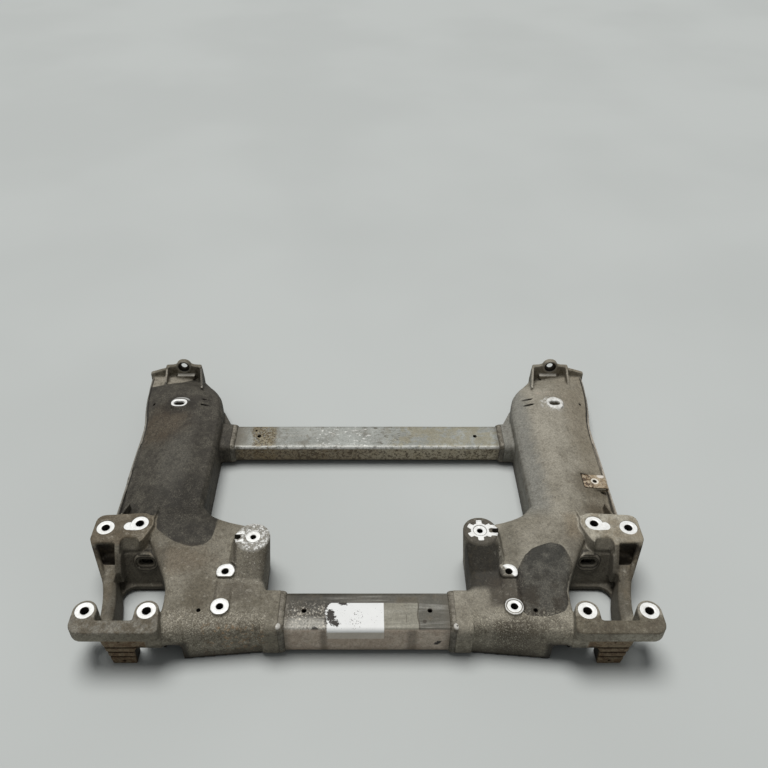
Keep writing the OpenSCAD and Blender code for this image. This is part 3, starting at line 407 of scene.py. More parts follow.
def left_stains(p):
    """Darker left-hand casting: the oil covers its member as far as a round edge."""
    ey = ENGINE_Y[-1]
    p.colour = p.mix(p.step(p.big, 0.36, 0.64), (110, 104, 90), (132, 126, 112))
    drift = p.mul(p.wobble, 8.0)
    edge = p.curve(p.x, [(270, -100), (275, -127), (277, -147), (283, -162), (297, -172), (314, -174),
                         (338, -167), (358, -157), (373, -146), (383, -133), (388, -118), (400, -108)])
    oily = p.mul(p.step(p.sub(p.add(p.y, drift), edge), -1.5, 1.5), p.step(p.add(p.x, drift), 272, 278))
    # A paler wedge is left at the rear end, behind a slanted line
    line = p.curve(p.x, [(372, 356), (380, 348), (400, 337), (424, 318), (452, 305), (470, 302), (501, 306)])
    behind = p.step(p.sub(p.y, line), -1.0, 1.0)
    oily = p.mul(oily, p.inv(behind))
    deep = p.mix(p.step(p.y, -120, 60), (52, 49, 43), (64, 60, 53))
    deep = p.mix(p.mul(p.step(p.blotch, 0.44, 0.62), 0.6), deep, (82, 78, 69))
    deep = p.mix(p.mul(p.smudge(430, 160, 50, 60), 0.6), deep, (80, 67, 51))
    deep = p.mix(p.mul(p.smudge(345, -60, 34, 66), 0.8), deep, (43, 40, 35))
    deep = p.mix(p.mul(p.smudge(385, 40, 30, 80), 0.5), deep, (90, 87, 79))
    p.oily = oily
    p.stain(oily, deep, 0.96)
    wedge = p.mix(p.blotch, (128, 121, 107), (160, 153, 139))
    p.stain([behind, p.step(p.y, 344, 340)], wedge, 0.85)
    p.stain(p.oval(407, 214, 38, 30, 0.8, p.wobble), (44, 40, 34), 0.8)
    # Reddish brown of the deck, grime at the foot of the pedestal, pale bloom on its front
    p.stain(p.smudge(335, -200, 60, 26), (104, 90, 71), 0.5)
    p.stain(p.smudge(285, -262, 26, 40), (92, 84, 69), 0.6)
    p.stain(p.box(226, 234, -232, ey - 8, 3.5), (66, 60, 51), 0.8)
    p.stain(p.smudge(222, -262, 30, 22), (88, 81, 70), 0.6)
    p.stain([p.box(168, 236, -236, ey - 6, 8), p.step(p.patch, 0.5, 0.4)], (92, 85, 73), 0.6)
    p.stain([p.box(168, 236, -250, ey + 10, 8), p.spots(0.57, 0.64, 3.0, 4, 0.78, 93.0)],
            (206, 201, 189), 0.65)
    # Grey face of the engine pad
    face = p.mul(p.oval(ENGINE_X, ey, 34, 34, 0.1), p.step(p.z, ENGINE_Z - 3, ENGINE_Z - 2))
    p.stain(face, (150, 146, 136), 0.85)
    # Pale bloom and rust along the front of the deck
    front = p.mul(p.box(166, 342, -348, -300, 10), p.spots(0.48, 0.62, 2.0, 3, 0.8, 95.0))
    p.stain(front, (204, 197, 180), 0.6)
    rust = p.mul(p.box(166, 270, -352, -326, 5), p.spots(0.52, 0.62, 8, 4, 0.7, 97.0))
    p.stain(rust, (160, 128, 92), 0.6)


def dirt_and_painted_shade(p):
    """Grime, and painted shade and highlights, that both castings have in their hollows, and browned
    machined plates.
    """
    side = p.inv(p.up)
    p.stain([side, p.step(p.patch, 0.4, 0.62)], (100, 93, 80), 0.5)
    # Pocket darkened with grime and painted shade; painted shade in the window beside the head of the arm
    pocket = p.mul(p.box(352, 446, -300, -166, 8), p.step(p.z, 97, 78))
    p.stain(pocket, (94, 89, 78), 0.8)
    p.stain([p.box(443, 484, -201, -176, 2), p.step(p.z, 103, 97)], (44, 39, 32), 0.95)
    # Walls darker towards the bottom, a painted shadow along their foot, painted shade on everything that
    # faces down, and a painted shadow in the arch under the bar
    p.stain([p.step(p.z, 34, 6), side], (64, 59, 50), 0.7)
    p.stain([p.step(p.z, 9, 3), side], (30, 27, 23), 0.8)
    p.stain(p.step(p.nz, -0.2, -0.7), (50, 46, 40), 0.85)
    p.stain([p.box(296, 388, -352, -240, 5), p.step(p.z, 54, 40)], (34, 31, 26), 0.85)
    # Machined plates, which have gone brown
    plate = p.mul(p.box(382, 500, -186, -110, 3), p.step(p.z, 100, 104))
    p.stain(plate, p.mix(p.step(p.blotch, 0.42, 0.6), p.plate[0], p.plate[1]), 0.85)
    bar = p.mul(p.box(330, 490, -360, -322, 3), p.step(p.z, 91, 94))
    p.stain(bar, p.mix(p.step(p.patch, 0.4, 0.6), *p.bar), 0.8)
    # Painted shade and highlight rings round the slot in the pocket wall, in place of the steps of its boss
    slot_x, slot_y, slot_z = POCKET_SLOT
    reach = p.most(p.sub(p.math("ABSOLUTE", p.sub(p.x, slot_x)), 7.0), 0.0)
    d = p.length(reach, p.sub(p.z, slot_z + 2))
    wall = p.band(p.y, slot_y - 14, slot_y + 14, 2)
    p.stain([wall, p.most(p.band(d, 10.2, 11.6, 0.4), p.band(d, 14.6, 16, 0.4))], (34, 31, 26), 0.8)
    p.stain([wall, p.band(d, 12, 14, 0.5)], (118, 112, 100), 0.6)
    # Rusty grooved column
    column = p.mul(p.box(360, 450, -360, -346, 2), p.step(p.z, 74, 70))
    p.stain(column, p.mix(p.step(p.patch, 0.42, 0.58), (92, 70, 46), (128, 112, 88)), 0.85)
    p.stain([p.box(440, 500, -290, -150, 5), p.step(p.blotch, 0.42, 0.6)], (100, 90, 73), 0.5)
    # Painted shadow along the edge of the web between the rack bosses
    p.stain([p.box(254, 258, -284, -243, 1.8), p.step(p.z, 70, 74)], (58, 52, 44), p.web)
    # Painted shade in the gutter inside the outer flange, with a painted highlight along its rim
    outer = p.step(p.y, -112, -96)
    p.stain([outer, p.step(p.nx, 0.35, 0.7), p.step(p.z, 62, 56)], (46, 43, 37), 0.8)
    edge = p.curve(p.y, [(-110, 479), (60, 480), (140, 479.5), (186, 482), (222, 488.5),
                         (262, 494), (298, 497), (352, 500)])
    inside = p.sub(edge, p.x)
    outer = p.mul(p.step(p.y, -112, -100), p.step(p.y, 345, 335), p.step(p.z, 36, 40))
    p.stain([outer, p.band(inside, 5.4, 9.0, 0.7), p.step(p.z, 70, 60)], (28, 25, 21), 0.85)
    p.stain([outer, p.step(inside, 5.2, 4.4), p.step(p.z, 42, 46)], p.rim, 0.85)
    # Painted shade in the notches
    for cx, cy in NOTCHES:
        p.stain([p.oval(cx, cy, 12, 3.6, 0.3), p.step(p.z, 72, 76)], (46, 42, 36), 0.85)


def rear_lug(p):
    """Painted shade in the sunk face of the lug, with a paler rim, painted light on the wall round it, and
    painted highlights on the ledge and the braces.
    """
    cx, front, cz = LUG
    d = p.length(p.sub(p.x, cx), p.sub(p.z, cz))
    near = p.step(p.y, front - 3, front - 1)
    # Wall beside the lug painted lighter: painted light against its shading
    wall = p.mul(p.box(372, 500, 318, 352, 4), p.step(p.ny, -0.3, -0.7))
    p.stain([wall, p.step(p.patch, 0.62, 0.42)], (146, 139, 124), 0.7)
    p.stain([near, p.band(d, LUG_SINK_R + 0.3, LUG_RING_R + 0.5, 0.4), p.step(p.ny, -0.4, -0.8)],
            (158, 152, 139), 0.75)
    # Painted shade in the sunk face
    p.stain([near, p.step(d, LUG_SINK_R + 0.5, LUG_SINK_R)], (40, 36, 31), 0.85)
    # Painted highlights on the top of the ledge and on the top edges of the braces
    x, y = LEDGE
    ledge = p.mul(p.box(x - 20, x + 20, y - 5, y + 4, 1.0), p.step(p.z, 63.5, 65))
    p.stain([ledge, p.up], (204, 199, 187), 0.85)
    braces = p.mul(p.box(360, 390, 262, 350, 4), p.step(p.z, 66, 70))
    braces = p.most(braces, p.mul(p.box(450, 466, 284, 350, 3), p.step(p.z, 63, 66)))
    p.stain([braces, p.step(p.point, 0.53, 0.57)], (196, 190, 177), 0.8)


def capsule(p, x0, x1, y, r):
    """Distance in plan outside a bar with round ends that lies along X."""
    reach = p.most(p.sub(p.math("ABSOLUTE", p.sub(p.x, (x0 + x1) / 2)), (x1 - x0) / 2), 0.0)
    return p.sub(p.length(reach, p.sub(p.y, y)), r)


def machined(p, side):
    """Bare metal of the bolt faces, with ragged edges."""
    ey = ENGINE_Y[side]
    ragged = p.mul(p.wobble, 3.0)
    for cx, cy in FRONT_PADS:
        d = p.add(p.dist(cx, cy), p.mul(ragged, 0.4))
        p.shine(p.mul(p.step(d, 15.9, 15.3), p.step(p.z, FRONT_PAD_Z - 2, FRONT_PAD_Z - 1.3)))
    level = p.step(p.z, BLOCK_Z - 2, BLOCK_Z - 1.3)
    for cx, cy in BLOCK_PADS:
        p.shine(p.mul(p.step(p.add(p.dist(cx, cy), p.mul(ragged, 0.5)), 16.0, 15.2), level))
    cx, cy = BLOCK_PADS[0]
    tail = p.add(capsule(p, cx + 4, cx + 18, cy - 7.5, 8.8), ragged)
    p.shine(p.mul(p.step(tail, 0.6, -0.6), level))
    # Rack bosses
    d = p.add(p.dist(*RACK_FRONT[:2]), ragged)
    ring = p.step(d, 16.2, 15.0)
    if side > 0:
        ring = p.most(p.step(d, 12.2, 11.6), p.mul(p.band(d, 13.4, 16.2, 0.5), 0.7))
    p.shine(p.mul(ring, p.step(p.z, RACK_FRONT[2] - 1.2, RACK_FRONT[2] - 0.7)))
    ring = p.step(p.add(p.dist(*RACK_REAR[:2]), ragged), 16.6, 15.6)
    if side > 0:
        slant = p.add(p.sub(p.x, RACK_REAR[0]), p.mul(p.sub(p.y, RACK_REAR[1]), 0.75))
        ring = p.mul(ring, p.step(p.add(slant, p.mul(p.wobble, 12)), -2.5, 1.5))
    p.shine(p.mul(ring, p.step(p.z, RACK_REAR[2] - 1.2, RACK_REAR[2] - 0.7)))
    # Engine pads
    top = p.step(p.z, ENGINE_Z - 2.6, ENGINE_Z - 1.8)
    d = p.dist(ENGINE_X, ey)
    off = p.math("ABSOLUTE", p.sub(p.y, ey))
    horns = p.mul(p.band(off, 5.2, 12.0, 0.6), p.band(p.x, LOCATING_X - 11, LOCATING_X + 4, 0.8))
    if side > 0:
        lobe = p.step(p.math("COSINE", p.mul(p.angle(ENGINE_X, ey), 6.0)), 0.45, -0.45)
        gear = p.add(16.0, p.mul(lobe, 7.0))
        worn = p.step(p.sub(p.add(d, p.mul(ragged, 0.5)), gear), 0.5, -0.5)
        worn = p.mul(worn, p.inv(p.mul(p.band(d, 11.4, 12.4, 0.4), 0.75)))
        p.shine(p.mul(p.most(worn, horns), top))
    else:
        p.shine(p.mul(p.most(p.band(d, 4.5, 12.7, 0.4), p.mul(horns, p.step(p.patch, 0.36, 0.46))), top))
        mottle = p.mul(p.spots(0.48, 0.55, 4, 4, 0.75, 21.0), p.step(p.x, ENGINE_X + 28, ENGINE_X + 16))
        p.shine(p.mul(mottle, 0.7, top, p.step(d, 32, 28)))
    # Slotted hole in the member
    cx, cy = MEMBER_SLOT
    d = p.add(capsule(p, cx - 5.5, cx + 5.5, cy, 0.0), p.mul(ragged, 0.6))
    ring = p.step(d, 12.4, 11.2)
    if side > 0:
        ring = p.oval(cx, cy, 17.5, 19, 0.12, p.mul(p.wobble, 0.6))
        splash = p.mul(p.spots(0.45, 0.52, 3.4, 3, 0.7, 31.0), p.oval(433, 219, 12, 19, 0.5, p.wobble))
        scuff = p.mul(p.spots(0.48, 0.58, 5, 4, 0.7, 33.0), p.oval(405, 217, 29, 23, 0.4, p.wobble))
        ring = p.mul(ring, p.blend(p.step(p.patch, 0.42, 0.56), 0.85, 0.55))
        ring = p.most(ring, p.mul(splash, 0.8), p.mul(scuff, 0.4))
    else:
        ring = p.most(ring, p.mul(p.band(d, 14.0, 18.5, 0.8), p.step(p.y, cy + 4, cy + 12), 0.4))
    p.shine(p.mul(ring, p.step(p.z, 82, 84)))


def bores(p, side):
    """Painted shade inside the bolt holes and in the notch of the engine pad."""
    ey = ENGINE_Y[side]
    places = [(cx, cy, PAD_HOLE_R) for cx, cy in FRONT_PADS + BLOCK_PADS]
    places += [(*RACK_FRONT[:2], RACK_HOLE_R), (*RACK_REAR[:2], RACK_HOLE_R)]
    places += [(ENGINE_X, ey, ENGINE_HOLE_R), (*DECK_HOLE, DECK_HOLE_R), (*MEMBER_HOLE, MEMBER_HOLE_R)]
    dark = p.most(*[p.step(p.dist(cx, cy), r + 0.4, r + 0.1) for cx, cy, r in places])
    p.stain([dark, p.step(p.nz, 0.8, 0.4)], (30, 27, 24), 0.95)
    notch = p.box(LOCATING_X - 6, LOCATING_X + 16, ey - 5.2, ey + 5.2, 0.4)
    p.stain([notch, p.band(p.z, 94, 108.6, 0.5)], (44, 40, 35), 0.85)


def cast_paint(name, side):
    """Weathered cast aluminium with the stains and the bare spots of one side."""
    p = Paint(name, side)
    seed = 3.0 if side > 0 else 11.0
    # Noise layers from coarse to fine; wobble makes the edges of stains uneven
    p.big = p.noise(95, 3, 0.6, seed)
    p.blotch = p.noise(26, 4, 0.62, seed + 1)
    p.patch = p.noise(9, 4, 0.65, seed + 2)
    p.grain = p.noise(3.6, 3, 0.75, seed + 3)
    p.fine = p.noise(1.6, 2, 0.65, seed + 4)
    p.wobble = p.sub(p.noise(14, 4, 0.65, seed + 5), 0.5)
    p.up = p.step(p.nz, 0.2, 0.85)
    # Colours and amounts that differ between the two sides, among them the painted highlight on the flange
    # rim, the painted shadow by the web and the painted light on the inner wall of the block
    if side > 0:
        p.plate = ((144, 134, 115), (176, 170, 154))
        p.bar = ((94, 87, 71), (72, 63, 48))
        p.rim = (176, 167, 153)
        p.web = 0.8
        p.mottle = 0.3
        p.cliff = (176, 169, 154)
        right_stains(p)
    else:
        p.plate = ((90, 79, 62), (112, 103, 87))
        p.bar = ((116, 112, 102), (96, 88, 74))
        p.rim = (146, 142, 132)
        p.web = 0.45
        p.mottle = 0.5
        p.cliff = (146, 136, 118)
        left_stains(p)
    dirt_and_painted_shade(p)
    # Painted shade: walls a little darker than tops; front faces painted a little lighter, as painted light
    p.colour = p.tint(p.colour, p.blend(p.up, p.blend(p.step(p.ny, -0.5, -0.9), 0.86, 1.12), 1.0))
    # Painted light: the inner wall of the block is painted lighter against its shading, so that it runs up
    # from the deck as one skin
    cliff = p.mul(p.box(356, 398, -205, -112, 5), p.step(p.nx, -0.15, -0.5), p.step(p.z, 66, 74))
    p.stain(cliff, p.cliff, 0.8)

    # Sandy grain of the casting, with dark pits
    dry = p.inv(p.oily)
    p.stain([p.step(p.patch, 0.5, 0.66), dry], (80, 72, 58), p.mottle)
    p.stain([p.step(p.patch, 0.44, 0.32), p.up, dry], (172, 166, 152), p.mottle * 0.7)
    p.stain([p.oily, p.step(p.fine, 0.5, 0.62), p.step(p.blotch, 0.36, 0.6)], (116, 111, 98), 0.4)
    p.stain([p.oily, p.step(p.patch, 0.52, 0.36)], (36, 33, 28), 0.4)
    sand = p.add(1.0, p.mul(p.sub(p.grain, 0.5), 1.0 + p.mottle), p.mul(p.sub(p.fine, 0.5), 1.3))
    p.colour = p.tint(p.colour, sand)
    pits = p.mul(p.step(p.cells(3.4, seed), 0.22, 0.06), p.step(p.blotch, 0.42, 0.58))
    p.stain(pits, (52, 47, 40), 0.55)
    # Worn edges are lighter; corners are darker with dirt and painted shade
    p.stain([p.step(p.point, 0.53, 0.6), p.add(0.3, p.blotch)], (172, 166, 152), 0.45)
    p.stain(p.step(p.point, 0.475, 0.42), (44, 40, 34), 0.7)
    rear_lug(p)
    machined(p, side)
    metal = p.tint(p.mix(p.step(p.grain, 0.4, 0.62), (236, 235, 230), (250, 250, 246)),
                   p.add(0.84, p.mul(p.fine, 0.32)))
    p.colour = p.mix(p.bare, p.colour, metal)
    bores(p, side)

    rough = p.blend(p.bare, p.add(0.6, p.mul(p.grain, 0.25)), 0.42)
    height = p.add(p.mul(p.fine, 0.6), p.mul(p.grain, 1.0), p.mul(p.patch, 0.9))
    p.bump(p.mul(height, p.sub(1.0, p.mul(p.bare, 0.8))), 0.6, 0.0012)
    return p.finish(rough, p.mul(p.bare, 0.15), 0.3)


def tube_paint(name, front):
    """Drawn aluminium tube, dulled, with scuffs along its length."""
    p = Paint(name)
    seed = 41.0 if front else 47.0
    big = p.noise(110, 3, 0.6, seed)
    p.streak = p.noise(9, 4, 0.65, seed + 1, stretch=(0.06, 1.0, 1.0))
    p.blotch = p.noise(20, 4, 0.65, seed + 2)
    p.patch = p.noise(6, 4, 0.7, seed + 3)
    grain = p.noise(2.2, 2, 0.6, seed + 4)
    p.up = p.step(p.nz, 0.5, 0.9)
    p.face = p.step(p.ny, -0.5, -0.95)
    if front:
        p.colour = p.mix(p.step(big, 0.36, 0.64), (77, 74, 65), (98, 95, 86))
        p.stain([p.step(p.x, 20, -90), p.up], (48, 45, 37), 0.75)
    else:
        p.colour = p.mix(p.step(big, 0.36, 0.64), (138, 139, 132), (163, 165, 159))
    p.stain(p.step(p.streak, 0.48, 0.66), (172, 170, 162), 0.4)
    p.stain(p.step(p.blotch, 0.5, 0.68), (104, 97, 84), 0.5)
    p.stain([p.step(p.patch, 0.56, 0.66), p.step(p.blotch, 0.42, 0.58)], (80, 71, 56), 0.5)
    if front:
        front_tube_marks(p)
        weld_x = FRONT_WELD_X
    else:
        rear_tube_marks(p)
        weld_x = REAR_WELD_X
    p.colour = p.tint(p.colour, p.add(1.0, p.mul(p.sub(grain, 0.5), 1.1), p.mul(p.sub(p.patch, 0.5), 0.5)))
    # Soot beside the weld beads, and faces other than the top darker towards the bottom
    p.stain(p.step(p.math("ABSOLUTE", p.x), weld_x - 14, weld_x), (88, 82, 70), 0.5)
    p.stain([p.inv(p.up), p.step(p.z, 13, 8)], (50, 45, 38), 0.7)
    metal = 0.3
    if front:
        metal = p.mul(p.inv(front_label(p)), 0.25)
    p.bump(p.add(p.mul(p.streak, 0.6), p.mul(grain, 0.5), p.mul(p.patch, 0.4)), 0.35, 0.0006)
    return p.finish(p.add(0.42, p.mul(p.blotch, 0.25)), metal, 0.4)


def front_tube_marks(p):
    """White bloom and rust beside the label, the field of an older label and stains on the front face."""
    p.stain([p.step(p.x, 20, -90), p.up], (48, 45, 37), 0.3)
    left = p.mul(p.band(p.x, -144, -62, 8), p.step(p.y, -270, -296), p.step(p.z, 50, 60))
    p.stain([left, p.oval(-104, -322, 44, 14, 0.9)], (168, 165, 156), 0.7)
    p.stain([left, p.spots(0.52, 0.6, 3.0, 4, 0.78, 101.0)], (204, 197, 182), 0.7)
    p.stain([left, p.spots(0.55, 0.63, 4.0, 4, 0.78, 103.0)], (66, 54, 40), 0.7)
    top = p.step(p.z, 58, 63)
    rag = p.mul(p.sub(p.noise(5, 4, 0.75, 105.0), 0.5), 1.6)
    p.stain([top, p.oval(-86, -329, 5.5, 4.0, 0.3, p.mul(rag, 2.2))], (34, 30, 25), 0.92)
    # Field of an older label, with a dark band above it and a wavy edge
    p.stain([top, p.band(p.x, 28, 85, 0.8), p.step(p.y, -279, -281)], (146, 142, 127), 0.6)
    p.stain([top, p.band(p.x, 50, 86, 5), p.band(p.y, -280, -268, 3)], (84, 77, 62), 0.65)
    wave = p.add(p.x, p.mul(p.math("SINE", p.mul(p.y, 0.16)), 1.2))
    p.stain([top, p.band(wave, 84, 86.2, 0.5), p.step(p.y, -276, -280)], (70, 64, 52), 0.8)
    p.stain([top, p.band(p.x, 64.5, 65.8, 0.4), p.band(p.y, -318, -302, 1)], (84, 78, 66), 0.7)
    p.stain([top, p.oval(95, -316, 3.4, 3.4, 0.5)], (56, 50, 41), 0.85)
    # Front face: pinkish brown with dark runs and a black blob
    p.stain(p.face, (200, 186, 170), 0.85)
    p.stain([p.face, p.step(p.blotch, 0.4, 0.56)], (164, 146, 129), 0.55)
    p.stain([p.face, p.step(p.patch, 0.46, 0.62)], (126, 113, 98), 0.5)
    p.stain([p.face, p.step(p.z, 24, 8)], (116, 101, 84), 0.6)
    runs = p.most(p.band(p.x, -77, -66, 4), p.mul(p.band(p.x, 66, 82, 5), 0.9))
    p.stain([p.face, runs], (78, 68, 54), 0.6)
    blob = p.mul(p.band(p.add(p.x, p.mul(p.sub(p.z, 32), -0.5)), 112, 121, 1.5), p.band(p.z, 27, 38, 1.5))
    p.stain([p.face, blob, p.step(p.patch, 0.36, 0.46)], (26, 22, 18), 0.97)


def rear_tube_marks(p):
    """Rusty patch round the left-hand holes, scuffs, and the brown front face."""
    patch = p.band(p.add(p.x, p.mul(p.sub(p.blotch, 0.5), 40)), -244, -192, 6)
    p.stain([patch, p.step(p.patch, 0.38, 0.5)], (132, 119, 88), 0.75)
    p.stain([patch, p.spots(0.47, 0.55, 4, 4, 0.75, 119.0)], (66, 52, 32), 0.85)
    p.stain(p.step(p.x, -234, -270), (106, 100, 87), 0.7)
    p.stain([p.step(p.x, 30, 70), p.step(p.blotch, 0.42, 0.55)], (150, 144, 122), 0.65)
    scratch = p.step(p.noise(4, 4, 0.75, 111.0, stretch=(0.35, 1.0, 1.0)), 0.55, 0.61)
    p.stain([p.band(p.x, -20, 100, 20), scratch], (84, 77, 62), 0.75)
    smear = p.step(p.noise(4, 3, 0.7, 113.0, stretch=(0.4, 1.0, 1.0)), 0.57, 0.63)
    p.stain([p.band(p.x, -110, 10, 12), smear], (232, 232, 226), 0.75)
    p.stain([p.step(p.x, -30, -120), p.spots(0.56, 0.63, 5, 4, 0.75, 121.0)], (116, 110, 94), 0.55)
    brown = p.mul(p.face, p.step(p.add(p.z, p.mul(p.patch, 12)), 52, 46))
    p.stain(brown, p.mix(p.step(p.x, -60, 60), (134, 116, 87), (176, 164, 140)), 0.8)
    p.stain([brown, p.spots(0.48, 0.56, 6, 4, 0.75, 115.0)], (66, 53, 35), 0.8)
    p.stain([brown, p.spots(0.54, 0.62, 5, 4, 0.75, 117.0)], (164, 156, 136), 0.7)
    p.stain([p.face, p.step(p.z, 18, 8)], (62, 55, 45), 0.7)
    # Painted highlight along the rounded front top edge
    edge = p.mul(p.step(p.ny, -0.2, -0.45), p.step(p.nz, 0.2, 0.45))
    p.stain([edge, p.step(p.patch, 0.64, 0.44)], (222, 221, 214), 0.8)


def front_label(p):
    """Blank paper label, torn at its left-hand end, that folds over the front of the tube."""
    rag = p.mul(p.sub(p.noise(4, 5, 0.8, 51.0), 0.5), 3.6)
    left = p.curve(p.y, [(-334, -66), (-318, -66), (-300, -69), (-290, -67), (-280, -60)])
    sheet = p.mul(p.step(p.sub(p.add(p.x, p.mul(rag, 4)), left), -0.4, 0.4), p.step(p.x, 28.4, 27.6))
    sheet = p.mul(sheet, p.step(p.y, -279.5, -280.5))
    torn = p.most(p.oval(-61, -299, 6, 7, 0.1, rag), p.oval(-60, -309, 8, 8, 0.1, rag),
                  p.oval(-53, -319, 8, 6, 0.1, rag), p.oval(-40, -281, 7, 3.5, 0.1, rag))
    rim = p.mul(p.band(p.sub(p.add(p.x, p.mul(rag, 4)), left), -3.5, 0.2, 0.8), p.band(p.y, -324, -281, 2))
    p.stain([rim, p.step(p.z, 60, 62), p.step(p.patch, 0.44, 0.5)], (44, 39, 32), 0.85)
    many = p.oval(-17, -310, 11, 20, 0.6)
    specks = p.step(p.add(p.noise(2.2, 3, 0.7, 55.0), p.mul(many, 0.07)), 0.655, 0.68)
    top = p.mul(sheet, p.step(p.z, 60, 62), p.inv(p.most(torn, specks)))
    fold = p.mul(sheet, p.band(p.z, 44, 61, 0.6), p.step(p.ny, -0.5, -0.9))
    p.stain(fold, (204, 198, 187), 0.6)
    p.stain([sheet, p.step(p.z, 60, 62), p.most(torn, specks)], (40, 36, 30), 0.9)
    p.colour = p.mix(top, p.colour, p.tint((236, 236, 233), p.add(0.9, p.mul(p.blotch, 0.2))))
    return p.most(top, fold)


def weld_paint(name):
    """Weld metal: dull, with soot and painted shade in its hollows, white bloom, and a bright end on the
    front beads.
    """
    p = Paint(name)
    blotch = p.noise(9, 4, 0.68, 61.0)
    grain = p.noise(2.2, 3, 0.7, 62.0)
    p.colour = p.mix(p.step(blotch, 0.4, 0.62), (90, 84, 72), (128, 122, 109))
    # Hollows between the ripples darker: soot and painted shade
    p.stain(p.step(p.point, 0.49, 0.42), (56, 51, 43), 0.7)
    p.stain(p.spots(0.56, 0.64, 3, 4, 0.75, 63.0), (178, 174, 164), 0.45)
    shade = p.blend(p.step(p.nz, 0.2, 0.85), 0.75, 1.0)
    p.colour = p.tint(p.colour, p.add(shade, p.mul(p.sub(grain, 0.5), 1.2)))
    ends = p.most(p.oval(147, -328, 5.5, 6.0, 0.4), p.oval(-147, -328, 5.5, 6.0, 0.4))
    p.stain([ends, p.step(p.z, 62, 66)], (214, 211, 203), 0.85)
    p.stain([p.oval(147, -329, 1.6, 1.8, 0.4), p.step(p.z, 62, 66)], (60, 55, 47), 0.9)
    p.bump(grain, 0.3, 0.0005)
    return p.finish(p.add(0.42, p.mul(blotch, 0.25)), 0.25, 0.4)


def rust_paint(name):
    """Sheet steel with its plating gone tan and rusty, brighter round the hole."""
    p = Paint(name)
    blotch = p.noise(7, 4, 0.68, 71.0)
    spots = p.noise(2.6, 4, 0.72, 72.0)
    x, y, _ = CLIP_SEAT
    hole = p.dist(x + CLIP_HOLE, y)
    p.colour = p.mix(p.step(blotch, 0.4, 0.6), (152, 132, 104), (186, 172, 148))
    p.stain(p.step(spots, 0.56, 0.64), (112, 80, 50), 0.7)
    inner = p.step(p.x, x + 24, x + 14)
    p.stain([inner, p.spots(0.47, 0.52, 6, 4, 0.7, 73.0)], (62, 40, 24), 0.85)
    p.stain([p.inv(inner), p.spots(0.54, 0.6, 5, 4, 0.7, 75.0)], (76, 52, 33), 0.75)
    p.stain(p.band(p.add(hole, p.mul(spots, 4)), 6.0, 9.6, 0.6), (238, 232, 218), 0.85)
    p.stain(p.oval(x + 37, y + 14, 7, 5, 0.6, p.sub(blotch, 0.5)), (240, 234, 224), 0.8)
    # Creases of the folds darker: rust and painted shade
    p.stain(p.step(p.point, 0.49, 0.42), (46, 35, 26), 0.7)
    p.bump(spots, 0.5, 0.0006)
    return p.finish(p.add(0.45, p.mul(blotch, 0.3)), 0.15, 0.4)


def link(name, data):
    """New object in the scene."""
    piece = bpy.data.objects.new(name, data)
    bpy.context.scene.collection.objects.link(piece)
    return piece


def settle(piece):
    """Applies all modifiers of a piece."""
    graph = bpy.context.evaluated_depsgraph_get()
    mesh = bpy.data.meshes.new_from_object(piece.evaluated_get(graph))
    piece.modifiers.clear()
    old = piece.data
    piece.data = mesh
    bpy.data.meshes.remove(old)


def mesh_from(name, verts, faces):
    mesh = bpy.data.meshes.new(name)
    mesh.from_pydata([tuple(v) for v in verts], [], faces)
    mesh.update()
    return mesh


def triangles(mesh):
    return sum(len(face.vertices) - 2 for face in mesh.polygons)


def spin(verts, axis, angle):
    """Points turned about the X or the Y axis."""
    c, s = math.cos(angle), math.sin(angle)
    x, y, z = verts.T
    if axis == "x":
        return np.stack([x, y * c - z * s, y * s + z * c], axis=1)
    return np.stack([x * c + z * s, y, z * c - x * s], axis=1)


def lathe(profile, segments=64):
    """Turned solid from (radius, height) pairs that start and end on its axis."""
    inner = profile[1:-1]
    verts = [(0, 0, profile[0][1])]
    for r, h in inner:
        for k in range(segments):
            a = 2 * math.pi * k / segments
            verts.append((r * math.cos(a), r * math.sin(a), h))
    verts.append((0, 0, profile[-1][1]))
    faces = [(0, 1 + (k + 1) % segments, 1 + k) for k in range(segments)]
    for i in range(len(inner) - 1):
        for k in range(segments):
            a = 1 + i * segments + k
            b = 1 + i * segments + (k + 1) % segments
            faces.append((a, b, b + segments, a + segments))
    base = 1 + (len(inner) - 1) * segments
    faces += [(base + k, base + (k + 1) % segments, len(verts) - 1) for k in range(segments)]
    return np.array(verts, float), faces


def prism(ring, low, high):
    """Upright solid over an outline that runs anticlockwise."""
    n = len(ring)
    verts = [(x, y, low) for x, y in ring] + [(x, y, high) for x, y in ring]
    faces = [tuple(range(n - 1, -1, -1)), tuple(range(n, 2 * n))]
    faces += [(k, (k + 1) % n, n + (k + 1) % n, n + k) for k in range(n)]
    return np.array(verts, float), faces


def slot_solid(length, width, low, high, segments=32):
    """Upright solid with rounded ends along X."""
    half = (length - width) / 2
    ring = []
    for sign, start in ((1, -math.pi / 2), (-1, math.pi / 2)):
        for k in range(segments + 1):
            a = start + math.pi * k / segments
            ring.append((sign * half + width / 2 * math.cos(a), width / 2 * math.sin(a)))
    return prism(ring, low, high)


def block(x0, x1, y0, y1, low, high):
    return prism([(x0, y0), (x1, y0), (x1, y1), (x0, y1)], low, high)


class Tools:
    """Closed solids, kept apart from each other, that are cut out of a piece together."""

    def __init__(self, side=1):
        self.side = side
        self.verts = []
        self.faces = []
        self.count = 0

    def take(self, solid, place=(0, 0, 0), turns=()):
        verts, faces = solid
        for axis, angle in turns:
            verts = spin(verts, axis, angle)
        verts = (verts + np.array(place, float)) * [self.side, 1, 1]
        faces = [tuple(self.count + k for k in face) for face in faces]
        self.faces += [face[::-1] for face in faces] if self.side < 0 else faces
        self.verts.append(verts)
        self.count += len(verts)

    def cut(self, piece):
        tool = link("tool", mesh_from("tool", np.concatenate(self.verts) * MM, self.faces))
        cut = piece.modifiers.new("cut", "BOOLEAN")
        cut.operation = "DIFFERENCE"
        cut.solver = "MANIFOLD"
        cut.object = tool
        settle(piece)
        bpy.data.objects.remove(tool)


